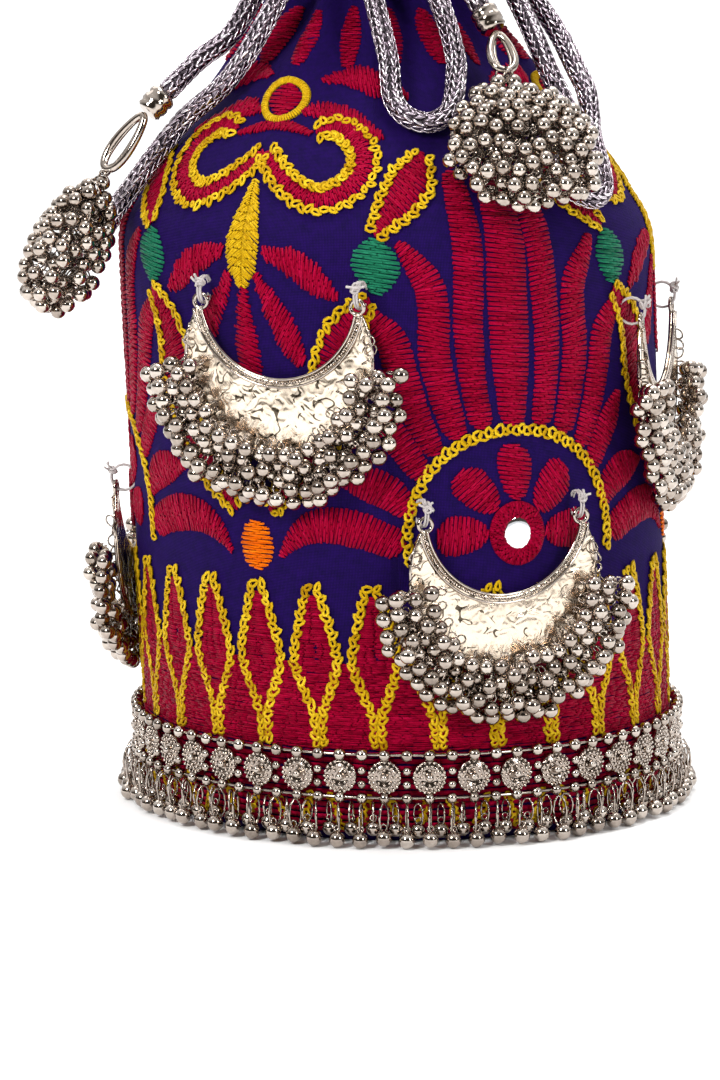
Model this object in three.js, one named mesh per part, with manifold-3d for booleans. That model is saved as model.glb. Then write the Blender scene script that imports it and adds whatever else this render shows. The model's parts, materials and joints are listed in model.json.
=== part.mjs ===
// Potli bag: a round drawstring pouch of embroidered cloth, gathered at the neck.
// Six crescent pendants with ball fringes hang on its wall from cotton thread,
// a medallion chain with drops runs round its foot, and two tassels end its cords.
// Units are millimetres, +Z is up and -Y is the front. The origin is the centre of the underside.

import * as THREE from 'three';
import { mergeVertices } from 'three/addons/utils/BufferGeometryUtils.js';
import ManifoldModule from 'manifold-3d';

const { lerp, clamp, smoothstep, degToRad } = THREE.MathUtils;

// Cloth body
const BODY_RADIUS = 76;
const FOOT_RADIUS = 73;
const WALL_FOOT = 1.5;
const SHOULDER_HEIGHT = 150;
const NECK_HEIGHT = 233;
const NECK_RADIUS = 25;
const FRILL_HEIGHT = 28;
const FRILL_RADIUS = 41;
const CLOTH_THICKNESS = 1.1;
const LINING_THICKNESS = 0.9;
const LEAN_START = 25;
const LEAN_SLOPE = 0.0446;
const FOLD_COUNT = 12;
const FOLD_RISE = 38;
const NECK_FOLD_DEPTH = 3;
const FRILL_FOLD_DEPTH = 4.4;
const COLUMNS_PER_FOLD = 4;

// Outline of the wall: how far the shoulder has drawn in at each share of its rise, and the same for the frill
const FOOT_BEND_INSET = 0.8;
const FOOT_BEND_HEIGHT = 12;
const STRAIGHT_SHARES = [0.4, 0.73];
const SHOULDER_SHAPE = [[0, 0], [0.02, 0.18], [0.13, 0.31], [0.28, 0.45], [0.49, 0.6], [0.72, 0.77],
  [0.91, 0.91], [1, 1]];
const FRILL_SHAPE = [[0.03, 0.3], [0.4, 0.6], [1, 1]];
const FRILL_FULLNESS = 1.2;
const CURVE_DIVISIONS = 2000;

// Rows of points up the wall, above the foot and as shares of the shoulder and the frill
const LOW_ROW = 25.5;
const MIDDLE_ROW = 60;
const SHOULDER_ROWS = [0, 0.1, 0.18, 0.27, 0.38, 0.5, 0.62, 0.74, 0.96];
const INNER_ROWS = [0, 0.27, 0.5, 0.62, 0.74, 0.96];
const FRILL_ROWS = [0.18, 0.5, 1];

// Stiff base and lining
const BASE_THICKNESS = 3;
const LINING_COLUMNS = 20;
const LINING_SLACK = 0.3;
const LINING_FLOOR_INSET = 2.6;
const LINING_ROWS = 6;

// Clearances
const SEAT_GAP = 0.35;
const STITCH_GAP = 0.4;
const STITCH_THICKNESS = 0.45;

// Embroidery, as angles round the wall and levels up it
const REPEAT_COUNT = 3;
const LOTUS_ANGLE = 30;
const OGEE_ANGLE = -30;
const ANGLE_DRIFT = 2.6;
const ANGLE_WAVE = 3.8;
const HEM_BOTTOM = 27.5;
const HEM_VALLEY = 51;
const HEM_PEAK = 68;
const HEM_POINTS = 27;
const HEM_LINE = 1.8;
const LOTUS_LEVEL = 86;
const ARCH_RADIUS = 25.5;
const ARCH_WIDTH = 1.7;
const ARCH_SPREAD = 95;
const FAN_GAP = 1.1;
const FAN_PETALS = 9;
const FAN_SPREAD = 80;
const FAN_SIDE_REACH = 41;
const FAN_TOP_REACH = 92;
const FAN_PETAL_WIDTH = 11.5;
const FAN_STEP = 9;
const FAN_TAPER = 0.94;
const FAN_TAPER_POWER = 1.6;
const PETAL_TIP_SHARE = 0.12;
const MIRROR_RADIUS = 4.2;
const LEAF_LEVELS = [153.5, 181];
const LEAF_WIDTH = 9;
const SCROLL_WIDTH = 4;
const SCROLL_HALF = [[0, 190], [9.4, 179.5], [18.3, 176], [25, 181], [26.5, 190], [22, 197], [14, 198]];
const GREEN_LEVELS = [149, 166];
const GREEN_WIDTH = 8;
const ORANGE_LEVELS = [75.5, 89.5];
const ORANGE_WIDTH = 6.5;

// Crescent pendants, listed by the angle and level of their hanging line, as they were sewn on
const CRESCENT_PLACES = [[-98, 90], [-22, 149], [22, 90], [76, 141], [142, 90], [195, 150]];
const PLATE_THICKNESS = 0.9;
const PLATE_OUTER_RADIUS = 27.5;
const PLATE_OUTER_DROP = 14.4;
const PLATE_INNER_RADIUS = 23;
const PLATE_INNER_RISE = 2.7;
const HOLE_SPACING = 46;
const HOLE_RADIUS = 1.4;
const EAR_RADIUS = 2.4;
const RIM_WIDTH = 2.5;
const RIM_HEIGHT = 2.2;
const RIM_SHARE_AT_TIP = 0.6;
const PLATE_ARC_STEPS = 12;
const PLATE_TIP_SHARE = 0.035;
const FRINGE_BALL_RADIUS = 2.3;
const FRINGE_COUNT = 19;
const FRINGE_START_ANGLE = 8;
const FRINGE_REACHES = [5, 9.6, 7];
const FRINGE_DEPTHS = [1.9, 4.3, 6.8];
const FRINGE_SEAT = 1.5;

// Cotton thread through each horn
const THREAD_RADIUS = 0.38;
const THREAD_GAP = 0.3;
const LOOP_RADIUS = 3.7;
const LOOP_TILT = 37.5;
const LOOP_OPENING = 20;
const LOOP_STEPS = 8;
const KNOT_RADIUS = 1.2;
const KNOT_ANGLE = 150;
const KNOT_STAND_OFF = 0.5;

// Medallion chain and its drops
const MEDALLION_COUNT = 40;
const MEDALLION_RADIUS = 4.75;
const MEDALLION_THICKNESS = 2.2;
const MEDALLION_BOSS = 1.6;
const MEDALLION_SIDES = 6;
const TOP_RAIL_HEIGHT = 25;
const LOW_RAIL_HEIGHT = 14;
const RAIL_SIZE = 2.4;
const RAIL_STAND_OFF = 2.5;
const DROP_RADIUS = 2.4;
const DROP_COUNT = 80;

// Cords and tassels. Points are chosen by hand, as x, y and z.
const CORD_DIAMETER = 5.4;
const CORD_SIDES = 8;
const CORD_STEP = 15;
const CORD_ROUTES = {
  cord_left_drop: [[-37.2, -15, 241], [-49, -24, 219], [-58, -27, 212], [-67, -31, 203]],
  cord_left_handle: [[-29, -28, 241], [-48.5, -32.5, 208], [-62, -25.4, 195.6], [-70.6, -24.4, 185.2],
    [-76.3, -23.3, 177.5], [-82.4, -16.2, 169.4], [-85.4, 0, 164.4], [-82.6, 16.2, 168.8],
    [-73.9, 25.7, 180.2], [-62.5, 30.5, 192.7], [-52.2, 32.1, 204.2], [-31, 26, 240]],
  cord_front_slack: [[-12, -33, 241], [-8.2, -39.5, 226], [-5, -45.8, 212.5], [-4.5, -49.5, 207.2],
    [-3.6, -53.2, 202.3], [-0.3, -56.1, 198.3], [5.7, -56.6, 196.5], [10.6, -53.5, 198.3], [12.7, -49.2, 202.3],
    [13.3, -44.9, 207.1], [13.5, -41, 212.4], [9.8, -36, 226], [3.5, -31, 241]],
  cord_right_drop: [[21.9, -2, 240.5], [20.3, -9.3, 239.8], [17.7, -16, 238.4], [15.6, -24.6, 236.6],
    [16.5, -31, 233], [20.5, -34.5, 226.5]],
  cord_right_slack: [[24, 5, 241], [29.5, -3, 231], [35.5, -13.5, 218.5], [39.6, -21.3, 208.7], [44.3, -25.4, 199.2],
    [45.4, -31.9, 194.5], [43.3, -39.6, 190], [41.7, -46.4, 186.1], [43, -50.6, 181], [46.8, -50.7, 176.8],
    [51.5, -47.1, 175.1], [54, -42.6, 177.1], [53.8, -39.5, 181.3], [52.7, -34.6, 186], [51.5, -28.7, 190.9],
    [51.2, -22, 196.6], [50.2, -17.2, 203.3], [47.5, -13.4, 208.9], [42.5, -2.5, 219], [34, 8, 230.5], [21.5, 15, 241]],
};
const CRIMP_LENGTH = 7;
const CRIMP_RADIUS = 4.2;
const CRIMP_SIDES = 10;
const BAIL_WIRE = 1.2;
const BAIL_HALF_WIDTH = 3.5;
const BAIL_STEPS = 12;
const TASSELS = {
  left: {
    cord: 'cord_left_drop', heading: -90, swing: 36, hang: 25, bail: 18, length: 44, width: 22, depth: 24,
  },
  right: {
    cord: 'cord_right_drop', heading: 15, swing: 43, hang: 41, bail: 13, length: 40, width: 46, depth: 17,
  },
};
const BUNCH_BALLS = 16;
const BUNCH_BALL_RADIUS = 2.5;
const BUNCH_CORE_INSET = 1.6;

// Finishes
const finish = (color, roughness, metalness) =>
  new THREE.MeshStandardMaterial({ color, roughness, metalness, flatShading: true });
const INDIGO_CLOTH = finish(0x2f1173, 0.85, 0);
const LINING_CLOTH = finish(0x3b2a66, 0.9, 0);
const CRIMSON_THREAD = finish(0xb80f3c, 0.6, 0);
const YELLOW_THREAD = finish(0xe8c21c, 0.6, 0);
const GREEN_THREAD = finish(0x108a5c, 0.6, 0);
const ORANGE_THREAD = finish(0xf2801c, 0.6, 0);
const MIRROR_GLASS = finish(0xd8dde2, 0.06, 1);
const SILVER_METAL = finish(0xc9c2b4, 0.25, 1);
const COTTON_THREAD = finish(0xf0ede4, 0.9, 0);
const SILVER_CORD = finish(0xa8a4a0, 0.45, 0.8);

const wasm = await ManifoldModule();
wasm.setup();

const bag = new THREE.Group();
bag.name = 'potli_bag';

function addPiece(name, geometry, material, parent = bag) {
  const piece = new THREE.Mesh(geometry, material);
  piece.name = name;
  parent.add(piece);
  return piece;
}

// Solids

function toSolid(geometry) {
  const bare = geometry.clone();
  bare.deleteAttribute('normal');
  bare.deleteAttribute('uv');
  const merged = mergeVertices(bare, 1e-4);
  const mesh = new wasm.Mesh({
    numProp: 3,
    vertProperties: new Float32Array(merged.attributes.position.array),
    triVerts: new Uint32Array(merged.index.array),
  });
  return new wasm.Manifold(mesh);
}

function toGeometry(solid) {
  const mesh = solid.getMesh();
  const geometry = new THREE.BufferGeometry();
  geometry.setAttribute('position', new THREE.BufferAttribute(Float32Array.from(mesh.vertProperties), 3));
  geometry.setIndex(new THREE.BufferAttribute(Uint32Array.from(mesh.triVerts), 1));
  return geometry;
}

function joined(geometries) {
  return geometries.map(toSolid).reduce((whole, solid) => whole.add(solid));
}

// A closed solid through rings of points: every ring has the same count, and the
// last ring either meets the first again or both ends are capped.
function skinned(rings, closedAlong) {
  const around = rings[0].length;
  const positions = rings.flat().flatMap((point) => [point.x, point.y, point.z]);
  const index = [];
  const spans = closedAlong ? rings.length : rings.length - 1;
  for (let i = 0; i < spans; i += 1) {
    const next = (i + 1) % rings.length;
    for (let j = 0; j < around; j += 1) {
      const k = (j + 1) % around;
      const corners = [i * around + j, i * around + k, next * around + k, next * around + j];
      index.push(corners[0], corners[1], corners[2], corners[0], corners[2], corners[3]);
    }
  }
  if (!closedAlong) {
    const last = (rings.length - 1) * around;
    for (let j = 1; j < around - 1; j += 1) {
      index.push(0, j + 1, j, last, last + j, last + j + 1);
    }
  }
  const geometry = new THREE.BufferGeometry();
  geometry.setAttribute('position', new THREE.Float32BufferAttribute(positions, 3));
  geometry.setIndex(index);
  return signedVolume(geometry) < 0 ? turnedInsideOut(geometry) : geometry;
}

function signedVolume(geometry) {
  const position = geometry.attributes.position;
  const index = geometry.index.array;
  const corner = [new THREE.Vector3(), new THREE.Vector3(), new THREE.Vector3()];
  let volume = 0;
  for (let i = 0; i < index.length; i += 3) {
    corner.forEach((point, k) => point.fromBufferAttribute(position, index[i + k]));
    volume += corner[0].dot(corner[1].clone().cross(corner[2])) / 6;
  }
  return volume;
}

function turnedInsideOut(geometry) {
  const index = geometry.index.array;
  for (let i = 0; i < index.length; i += 3) {
    [index[i + 1], index[i + 2]] = [index[i + 2], index[i + 1]];
  }
  return geometry;
}

// A tube along a path, as a section swept with extrudePath
function tubeAlong(path, radius, sides, steps) {
  const section = new THREE.Shape();
  for (let i = 0; i < sides; i += 1) {
    const turn = (i / sides) * 2 * Math.PI;
    const corner = [radius * Math.cos(turn), radius * Math.sin(turn)];
    if (i === 0) section.moveTo(...corner);
    else section.lineTo(...corner);
  }
  return new THREE.ExtrudeGeometry(section, { steps, extrudePath: path });
}

// A ball with the wire that holds it: a few faces round, drawn out to where it hangs from
function hangingBall(foot, centre, radius, sides) {
  const away = centre.clone().sub(foot).normalize();
  const across = new THREE.Vector3(-away.z, 0, away.x).normalize();
  const front = away.clone().cross(across);
  const positions = [foot, centre.clone().addScaledVector(away, radius)];
  const index = [];
  for (let i = 0; i < sides; i += 1) {
    const turn = (2 * Math.PI * i) / sides;
    const direction = across.clone().multiplyScalar(Math.sin(turn)).addScaledVector(front, Math.cos(turn));
    positions.push(centre.clone().addScaledVector(direction, radius));
    const here = 2 + i;
    const next = 2 + ((i + 1) % sides);
    index.push(0, here, next, 1, next, here);
  }
  const geometry = new THREE.BufferGeometry();
  const numbers = positions.flatMap((point) => [point.x, point.y, point.z]);
  geometry.setAttribute('position', new THREE.Float32BufferAttribute(numbers, 3));
  geometry.setIndex(index);
  return signedVolume(geometry) < 0 ? turnedInsideOut(geometry) : geometry;
}

// Wall of the bag

const wallCurve = new THREE.SplineCurve([
  new THREE.Vector2(FOOT_RADIUS, WALL_FOOT),
  new THREE.Vector2(BODY_RADIUS - FOOT_BEND_INSET, FOOT_BEND_HEIGHT),
  ...STRAIGHT_SHARES.map((share) => new THREE.Vector2(BODY_RADIUS, share * SHOULDER_HEIGHT)),
  ...SHOULDER_SHAPE.map(([draw, rise]) =>
    new THREE.Vector2(lerp(BODY_RADIUS, NECK_RADIUS, draw), lerp(SHOULDER_HEIGHT, NECK_HEIGHT, rise))),
  ...FRILL_SHAPE.map(([spread, rise]) =>
    new THREE.Vector2(lerp(NECK_RADIUS, FRILL_RADIUS, spread), NECK_HEIGHT + rise * FRILL_HEIGHT)),
]);
wallCurve.arcLengthDivisions = CURVE_DIVISIONS;
const wallLength = wallCurve.getLength();
const topLevel = WALL_FOOT + wallLength;
const neckLevel = topLevel - FRILL_FULLNESS * FRILL_HEIGHT;
const foldLevel = SHOULDER_HEIGHT + FOLD_RISE;

function leanAt(height) {
  return -LEAN_SLOPE * Math.max(0, height - LEAN_START);
}

function foldDepth(level) {
  const towardNeck = smoothstep(level, foldLevel, neckLevel);
  const towardTop = smoothstep(level, neckLevel, topLevel);
  return NECK_FOLD_DEPTH * towardNeck + (FRILL_FOLD_DEPTH - NECK_FOLD_DEPTH) * towardTop;
}

// Radius, height and outward normal of the wall at a level, the distance up along it from the floor
function wallAt(level) {
  const share = clamp((level - WALL_FOOT) / wallLength, 0, 1);
  const place = wallCurve.getPointAt(share);
  const along = wallCurve.getTangentAt(share);
  return { radius: place.x, height: place.y, outward: along.y, upward: -along.x };
}

function onWall(angle, level, offset = 0) {
  const wall = wallAt(level);
  const turn = degToRad(angle);
  const fold = foldDepth(level) * Math.cos(FOLD_COUNT * turn);
  const radius = wall.radius + fold + offset * wall.outward;
  const height = wall.height + offset * wall.upward;
  return new THREE.Vector3(radius * Math.sin(turn) + leanAt(height), -radius * Math.cos(turn), height);
}

// The hand-set pattern drifts a little, so a pattern angle isn't quite a wall angle
function patternToWall(angle) {
  return angle - ANGLE_DRIFT - ANGLE_WAVE * Math.sin(degToRad(angle));
}

function onPattern(angle, level, offset) {
  return onWall(patternToWall(angle), level, offset);
}

const wallColumns = FOLD_COUNT * COLUMNS_PER_FOLD;
const rowsBetween = (low, high, shares) => shares.map((share) => lerp(low, high, share));
const frillRows = rowsBetween(neckLevel, topLevel, FRILL_ROWS);
const shoulderRows = rowsBetween(SHOULDER_HEIGHT, neckLevel, SHOULDER_ROWS);
const wallLevels = [WALL_FOOT, FOOT_BEND_HEIGHT, LOW_ROW, MIDDLE_ROW, ...shoulderRows, ...frillRows];
const innerLevels = [WALL_FOOT, LOW_ROW, ...rowsBetween(SHOULDER_HEIGHT, neckLevel, INNER_ROWS), ...frillRows];

function wallRing(level, offset) {
  const ring = [];
  for (let i = 0; i < wallColumns; i += 1) ring.push(onWall((i * 360) / wallColumns, level, offset));
  return ring;
}

// The outer cloth: wall, gathered neck and frill in one, open at the foot and the mouth
function outerShell() {
  const outside = wallLevels.map((level) => wallRing(level, 0));
  const inside = innerLevels.map((level) => wallRing(level, -CLOTH_THICKNESS)).reverse();
  return skinned([...outside, ...inside], true);
}

// The lining: a smooth cup inside the cloth, up to the drawstring channel
function liningCup() {
  const levels = innerLevels.slice(1, LINING_ROWS + 1);
  const shrink = (level) => CLOTH_THICKNESS + foldDepth(level) + SEAT_GAP + LINING_SLACK;
  const point = (level, extra) => {
    const wall = wallAt(level);
    const offset = -(shrink(level) + extra);
    return new THREE.Vector2(wall.radius + offset * wall.outward, wall.height + offset * wall.upward);
  };
  const floor = BASE_THICKNESS + SEAT_GAP;
  const outside = levels.map((level) => point(level, 0));
  const inside = levels.map((level) => point(level, LINING_THICKNESS)).reverse();
  const profile = [
    new THREE.Vector2(0, floor),
    new THREE.Vector2(FOOT_RADIUS - LINING_FLOOR_INSET, floor),
    ...outside,
    ...inside,
    new THREE.Vector2(FOOT_RADIUS - LINING_FLOOR_INSET - LINING_THICKNESS, floor + LINING_THICKNESS),
    new THREE.Vector2(0, floor + LINING_THICKNESS),
  ];
  const cup = new THREE.LatheGeometry(profile, LINING_COLUMNS);
  cup.rotateX(Math.PI / 2);
  const position = cup.attributes.position;
  for (let i = 0; i < position.count; i += 1) {
    position.setX(i, position.getX(i) + leanAt(position.getZ(i)));
  }
  return toGeometry(toSolid(cup));
}

// The stiff disc that the bag stands on, inside the foot of the wall
function baseDisc() {
  const radius = FOOT_RADIUS - CLOTH_THICKNESS - SEAT_GAP;
  const disc = new THREE.CylinderGeometry(radius, radius, BASE_THICKNESS, wallColumns / 2);
  return disc.rotateX(Math.PI / 2).translate(0, 0, BASE_THICKNESS / 2);
}

// Embroidery

// A raised field of stitches between two edges of the same count, each a list of angle and level
function stitched(left, right, closed = false) {
  const low = STITCH_GAP;
  const high = STITCH_GAP + STITCH_THICKNESS;
  const rings = left.map((start, i) => {
    const end = right[i];
    return [onPattern(...start, low), onPattern(...end, low), onPattern(...end, high), onPattern(...start, high)];
  });
  return skinned(rings, closed);
}

// Millimetres sideways on the wall as an angle of the pattern
const degreesPerMillimetre = 360 / (2 * Math.PI * BODY_RADIUS);

// A ribbon of stitches along points given as millimetres across and up from a centre
function stitchedLine(points, width, centreAngle, centreLevel) {
  const left = [];
  const right = [];
  points.forEach((point, i) => {
    const before = points[Math.max(i - 1, 0)];
    const after = points[Math.min(i + 1, points.length - 1)];
    const across = new THREE.Vector2(before.y - after.y, after.x - before.x).setLength(width(i) / 2);
    const place = (side) => [
      centreAngle + (point.x + side * across.x) * degreesPerMillimetre,
      centreLevel + point.y + side * across.y,
    ];
    left.push(place(1));
    right.push(place(-1));
  });
  return stitched(left, right);
}

// A pointed petal between two points, widest in the middle
function petal(from, to, width, angle, level, steps = 4) {
  const points = [];
  for (let i = 0; i <= steps; i += 1) points.push(from.clone().lerp(to, i / steps));
  const widthAt = (i) => width * lerp(PETAL_TIP_SHARE, 1, Math.sin((Math.PI * i) / steps));
  return stitchedLine(points, widthAt, angle, level);
}

function upright(levels, width, angle) {
  const middle = (levels[0] + levels[1]) / 2;
  const half = (levels[1] - levels[0]) / 2;
  return petal(new THREE.Vector2(0, -half), new THREE.Vector2(0, half), width, angle, middle);
}

function arcPoints(radius, spread, steps) {
  const points = [];
  for (let i = 0; i <= steps; i += 1) {
    const turn = degToRad(-spread + (2 * spread * i) / steps);
    points.push(new THREE.Vector2(radius * Math.sin(turn), radius * Math.cos(turn)));
  }
  return points;
}

function addHem() {
  const corners = [];
  for (let i = 0; i < 2 * HEM_POINTS; i += 1) {
    const angle = OGEE_ANGLE + (i * 180) / HEM_POINTS;
    corners.push([angle, i % 2 === 0 ? HEM_PEAK : HEM_VALLEY]);
  }
  const foot = corners.map(([angle]) => [angle, HEM_BOTTOM]);
  addPiece('hem_field', stitched(foot, corners, true), CRIMSON_THREAD);
  const lineFoot = corners.map(([angle, level]) => [angle, level + SEAT_GAP]);
  const lineTop = corners.map(([angle, level]) => [angle, level + SEAT_GAP + HEM_LINE]);
  addPiece('hem_line', stitched(lineFoot, lineTop, true), YELLOW_THREAD);
}

function addLotus(number, angle) {
  const archWidth = () => ARCH_WIDTH;
  const arch = stitchedLine(arcPoints(ARCH_RADIUS, ARCH_SPREAD, 12), archWidth, angle, LOTUS_LEVEL);
  addPiece(`lotus_arch_${number}`, arch, YELLOW_THREAD);

  const innerRadius = ARCH_RADIUS + ARCH_WIDTH / 2 + FAN_GAP;
  const fan = [];
  for (let i = 0; i < FAN_PETALS; i += 1) {
    const lean = degToRad(-FAN_SPREAD + (2 * FAN_SPREAD * i) / (FAN_PETALS - 1));
    const reach = FAN_SIDE_REACH + (FAN_TOP_REACH - FAN_SIDE_REACH) * Math.cos(lean) ** 2;
    const steps = Math.max(2, Math.round((reach - innerRadius) / FAN_STEP));
    const points = [];
    for (let j = 0; j <= steps; j += 1) {
      const radius = lerp(innerRadius, reach, j / steps);
      points.push(new THREE.Vector2(radius * Math.sin(lean), radius * Math.cos(lean)));
    }
    const widthAt = (j) => FAN_PETAL_WIDTH * (1 - FAN_TAPER * (j / steps) ** FAN_TAPER_POWER);
    fan.push(stitchedLine(points, widthAt, angle, LOTUS_LEVEL));
  }
  addPiece(`lotus_fan_${number}`, toGeometry(joined(fan)), CRIMSON_THREAD);

  const mirror = new THREE.CylinderGeometry(MIRROR_RADIUS, MIRROR_RADIUS, 2 * STITCH_THICKNESS, 12);
  const glass = addPiece(`mirror_${number}`, mirror, MIRROR_GLASS);
  glass.position.copy(onPattern(angle, LOTUS_LEVEL, STITCH_GAP + STITCH_THICKNESS));
  glass.rotation.z = degToRad(patternToWall(angle));
}

function addOgee(number, angle) {
  const half = new THREE.SplineCurve(SCROLL_HALF.map(([turn, level]) => new THREE.Vector2(turn, level)));
  const rightSide = half.getPoints(10).map((point) => new THREE.Vector2(point.x / degreesPerMillimetre, point.y));
  const leftSide = rightSide.slice(1).reverse().map((point) => new THREE.Vector2(-point.x, point.y));
  const scroll = stitchedLine([...leftSide, ...rightSide], () => SCROLL_WIDTH, angle, 0);
  addPiece(`ogee_scroll_${number}`, scroll, CRIMSON_THREAD);
  addPiece(`ogee_leaf_${number}`, upright(LEAF_LEVELS, LEAF_WIDTH, angle), YELLOW_THREAD);
  addPiece(`orange_spot_${number}`, upright(ORANGE_LEVELS, ORANGE_WIDTH, angle), ORANGE_THREAD);
}

function addEmbroidery() {
  addHem();
  for (let i = 0; i < REPEAT_COUNT; i += 1) {
    const turn = (i * 360) / REPEAT_COUNT;
    addLotus(i + 1, LOTUS_ANGLE + turn);
    addOgee(i + 1, OGEE_ANGLE + turn);
  }
  for (let i = 0; i < 2 * REPEAT_COUNT; i += 1) {
    addPiece(`green_spot_${i + 1}`, upright(GREEN_LEVELS, GREEN_WIDTH, (i * 180) / REPEAT_COUNT), GREEN_THREAD);
  }
}

// Crescent pendants. Local X is the hanging line through both holes, and -Y faces away from the wall.

// The plate is swept from horn to horn, with a raised rim along its inner edge
function crescentPlate() {
  const drop = PLATE_OUTER_DROP + PLATE_INNER_RISE;
  const tipRise = (PLATE_OUTER_RADIUS ** 2 - PLATE_INNER_RADIUS ** 2 - drop ** 2) / (2 * drop);
  const outerTurn = Math.asin((tipRise + drop) / PLATE_OUTER_RADIUS);
  const innerTurn = Math.asin(tipRise / PLATE_INNER_RADIUS);
  const onCircle = (radius, rise, extra, share, depth) => {
    const turn = Math.PI - extra + share * (Math.PI + 2 * extra);
    return new THREE.Vector3(radius * Math.cos(turn), depth, rise + radius * Math.sin(turn));
  };
  const back = PLATE_THICKNESS / 2;
  const rings = [];
  for (let i = 0; i <= PLATE_ARC_STEPS; i += 1) {
    const share = lerp(PLATE_TIP_SHARE, 1 - PLATE_TIP_SHARE, i / PLATE_ARC_STEPS);
    const inner = onCircle(PLATE_INNER_RADIUS, PLATE_INNER_RISE, innerTurn, share, back);
    const outer = onCircle(PLATE_OUTER_RADIUS, -PLATE_OUTER_DROP, outerTurn, share, back);
    const width = inner.distanceTo(outer);
    const step = inner.clone().lerp(outer, Math.min(RIM_SHARE_AT_TIP, RIM_WIDTH / width));
    const forward = (point, distance) => point.clone().add(new THREE.Vector3(0, -distance, 0));
    rings.push([
      inner,
      outer,
      forward(outer, PLATE_THICKNESS),
      forward(step, PLATE_THICKNESS),
      forward(inner, RIM_HEIGHT),
    ]);
  }
  return skinned(rings, false);
}

// One ball of the fringe on the edge of the plate
function fringeBall(turn, reach, depth) {
  const direction = new THREE.Vector3(Math.cos(turn), 0, Math.sin(turn));
  const centre = new THREE.Vector3(0, 0, -PLATE_OUTER_DROP);
  const foot = centre.clone().addScaledVector(direction, PLATE_OUTER_RADIUS - FRINGE_SEAT);
  const end = centre.clone().addScaledVector(direction, PLATE_OUTER_RADIUS + reach);
  end.y -= depth;
  return hangingBall(foot, end, FRINGE_BALL_RADIUS, 3);
}

function crescent() {
  const pieces = [crescentPlate()];
  for (const side of [-1, 1]) {
    const ear = new THREE.CylinderGeometry(EAR_RADIUS, EAR_RADIUS, PLATE_THICKNESS, 8);
    pieces.push(ear.translate(side * (HOLE_SPACING / 2), 0, 0));
  }
  const start = degToRad(180 - FRINGE_START_ANGLE);
  const sweep = Math.PI + 2 * degToRad(FRINGE_START_ANGLE);
  for (let i = 0; i < FRINGE_COUNT; i += 1) {
    const turn = start + (sweep * i) / (FRINGE_COUNT - 1);
    pieces.push(fringeBall(turn, FRINGE_REACHES[i % 3], FRINGE_DEPTHS[i % 3]));
  }
  let whole = joined(pieces);
  for (const side of [-1, 1]) {
    const hole = new THREE.CylinderGeometry(HOLE_RADIUS, HOLE_RADIUS, 4 * PLATE_THICKNESS, 8);
    whole = whole.subtract(toSolid(hole.translate(side * (HOLE_SPACING / 2), 0, 0)));
  }
  return toGeometry(whole);
}

// The hanging line stands off the wall so that the middle of the plate clears the embroidery
const crescentStandOff = STITCH_GAP + STITCH_THICKNESS + SEAT_GAP + PLATE_THICKNESS / 2;

function crescentPlacement(angle, level) {
  const turn = degToRad(angle);
  const place = onWall(angle, level, crescentStandOff);
  const tilt = Math.atan(LEAN_SLOPE * Math.sin(turn));
  const matrix = new THREE.Matrix4().makeRotationFromEuler(new THREE.Euler(-tilt, 0, turn, 'ZYX'));
  return matrix.setPosition(place);
}

// Thread: a loop through the hole, round the horn and back to the wall, with its knot in front.
// It is tilted so that the horn can turn inside it as the pendant swings out.
function threadLoop() {
  const tilt = degToRad(LOOP_TILT);
  const centre = new THREE.Vector3(0, LOOP_RADIUS * Math.sin(tilt), LOOP_RADIUS * Math.cos(tilt));
  const at = (turn, radius) =>
    centre.clone().add(new THREE.Vector3(0, radius * Math.cos(turn), radius * Math.sin(turn)));
  const points = [];
  for (let i = 0; i <= LOOP_STEPS; i += 1) {
    points.push(at(degToRad(lerp(LOOP_OPENING, 360 - LOOP_OPENING, i / LOOP_STEPS)), LOOP_RADIUS));
  }
  const loop = tubeAlong(new THREE.CatmullRomCurve3(points), THREAD_RADIUS, 3, LOOP_STEPS);
  const knotPlace = at(degToRad(KNOT_ANGLE), LOOP_RADIUS + KNOT_STAND_OFF);
  const knot = new THREE.OctahedronGeometry(KNOT_RADIUS).translate(knotPlace.x, knotPlace.y, knotPlace.z);
  return joined([loop, knot]);
}

// The wall as one solid, grown by a clearance, for cutting threads off where they enter the cloth
function grownWall(offset) {
  const levels = wallLevels.filter((level) => level < foldLevel);
  return toSolid(skinned(levels.map((level) => wallRing(level, offset)), false));
}

function addCrescents() {
  const geometry = crescent();
  const loop = threadLoop();
  const cloth = grownWall(STITCH_GAP + STITCH_THICKNESS + THREAD_GAP);
  CRESCENT_PLACES.forEach(([angle, level], i) => {
    const matrix = crescentPlacement(angle, level);
    const pendant = addPiece(`crescent_${i + 1}`, geometry, SILVER_METAL);
    pendant.applyMatrix4(matrix);
    for (const [side, word] of [[-1, 'left'], [1, 'right']]) {
      const shift = new THREE.Matrix4().makeTranslation(side * (HOLE_SPACING / 2), 0, 0);
      const placed = loop.transform(matrix.clone().multiply(shift).elements).subtract(cloth);
      const whole = placed.decompose().sort((a, b) => b.volume() - a.volume())[0];
      addPiece(`thread_${i + 1}_${word}`, toGeometry(whole), COTTON_THREAD);
    }
  });
}

// Foot trim

// A rail with a three-cornered section, its point outward, round the foot
function ringRail(radius, height) {
  const half = RAIL_SIZE / 2;
  const rings = [];
  for (let i = 0; i < MEDALLION_COUNT; i += 1) {
    const turn = (i / MEDALLION_COUNT) * 2 * Math.PI;
    const corner = (out, up) => new THREE.Vector3(
      (radius + out * half) * Math.sin(turn), -(radius + out * half) * Math.cos(turn), height + up * half);
    rings.push([corner(-1, -1), corner(1, 0), corner(-1, 1)]);
  }
  return skinned(rings, true);
}

function standingRound(geometry, angle, radius, height) {
  const turn = degToRad(angle);
  geometry.rotateZ(turn);
  return geometry.translate(radius * Math.sin(turn), -radius * Math.cos(turn), height);
}

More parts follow.
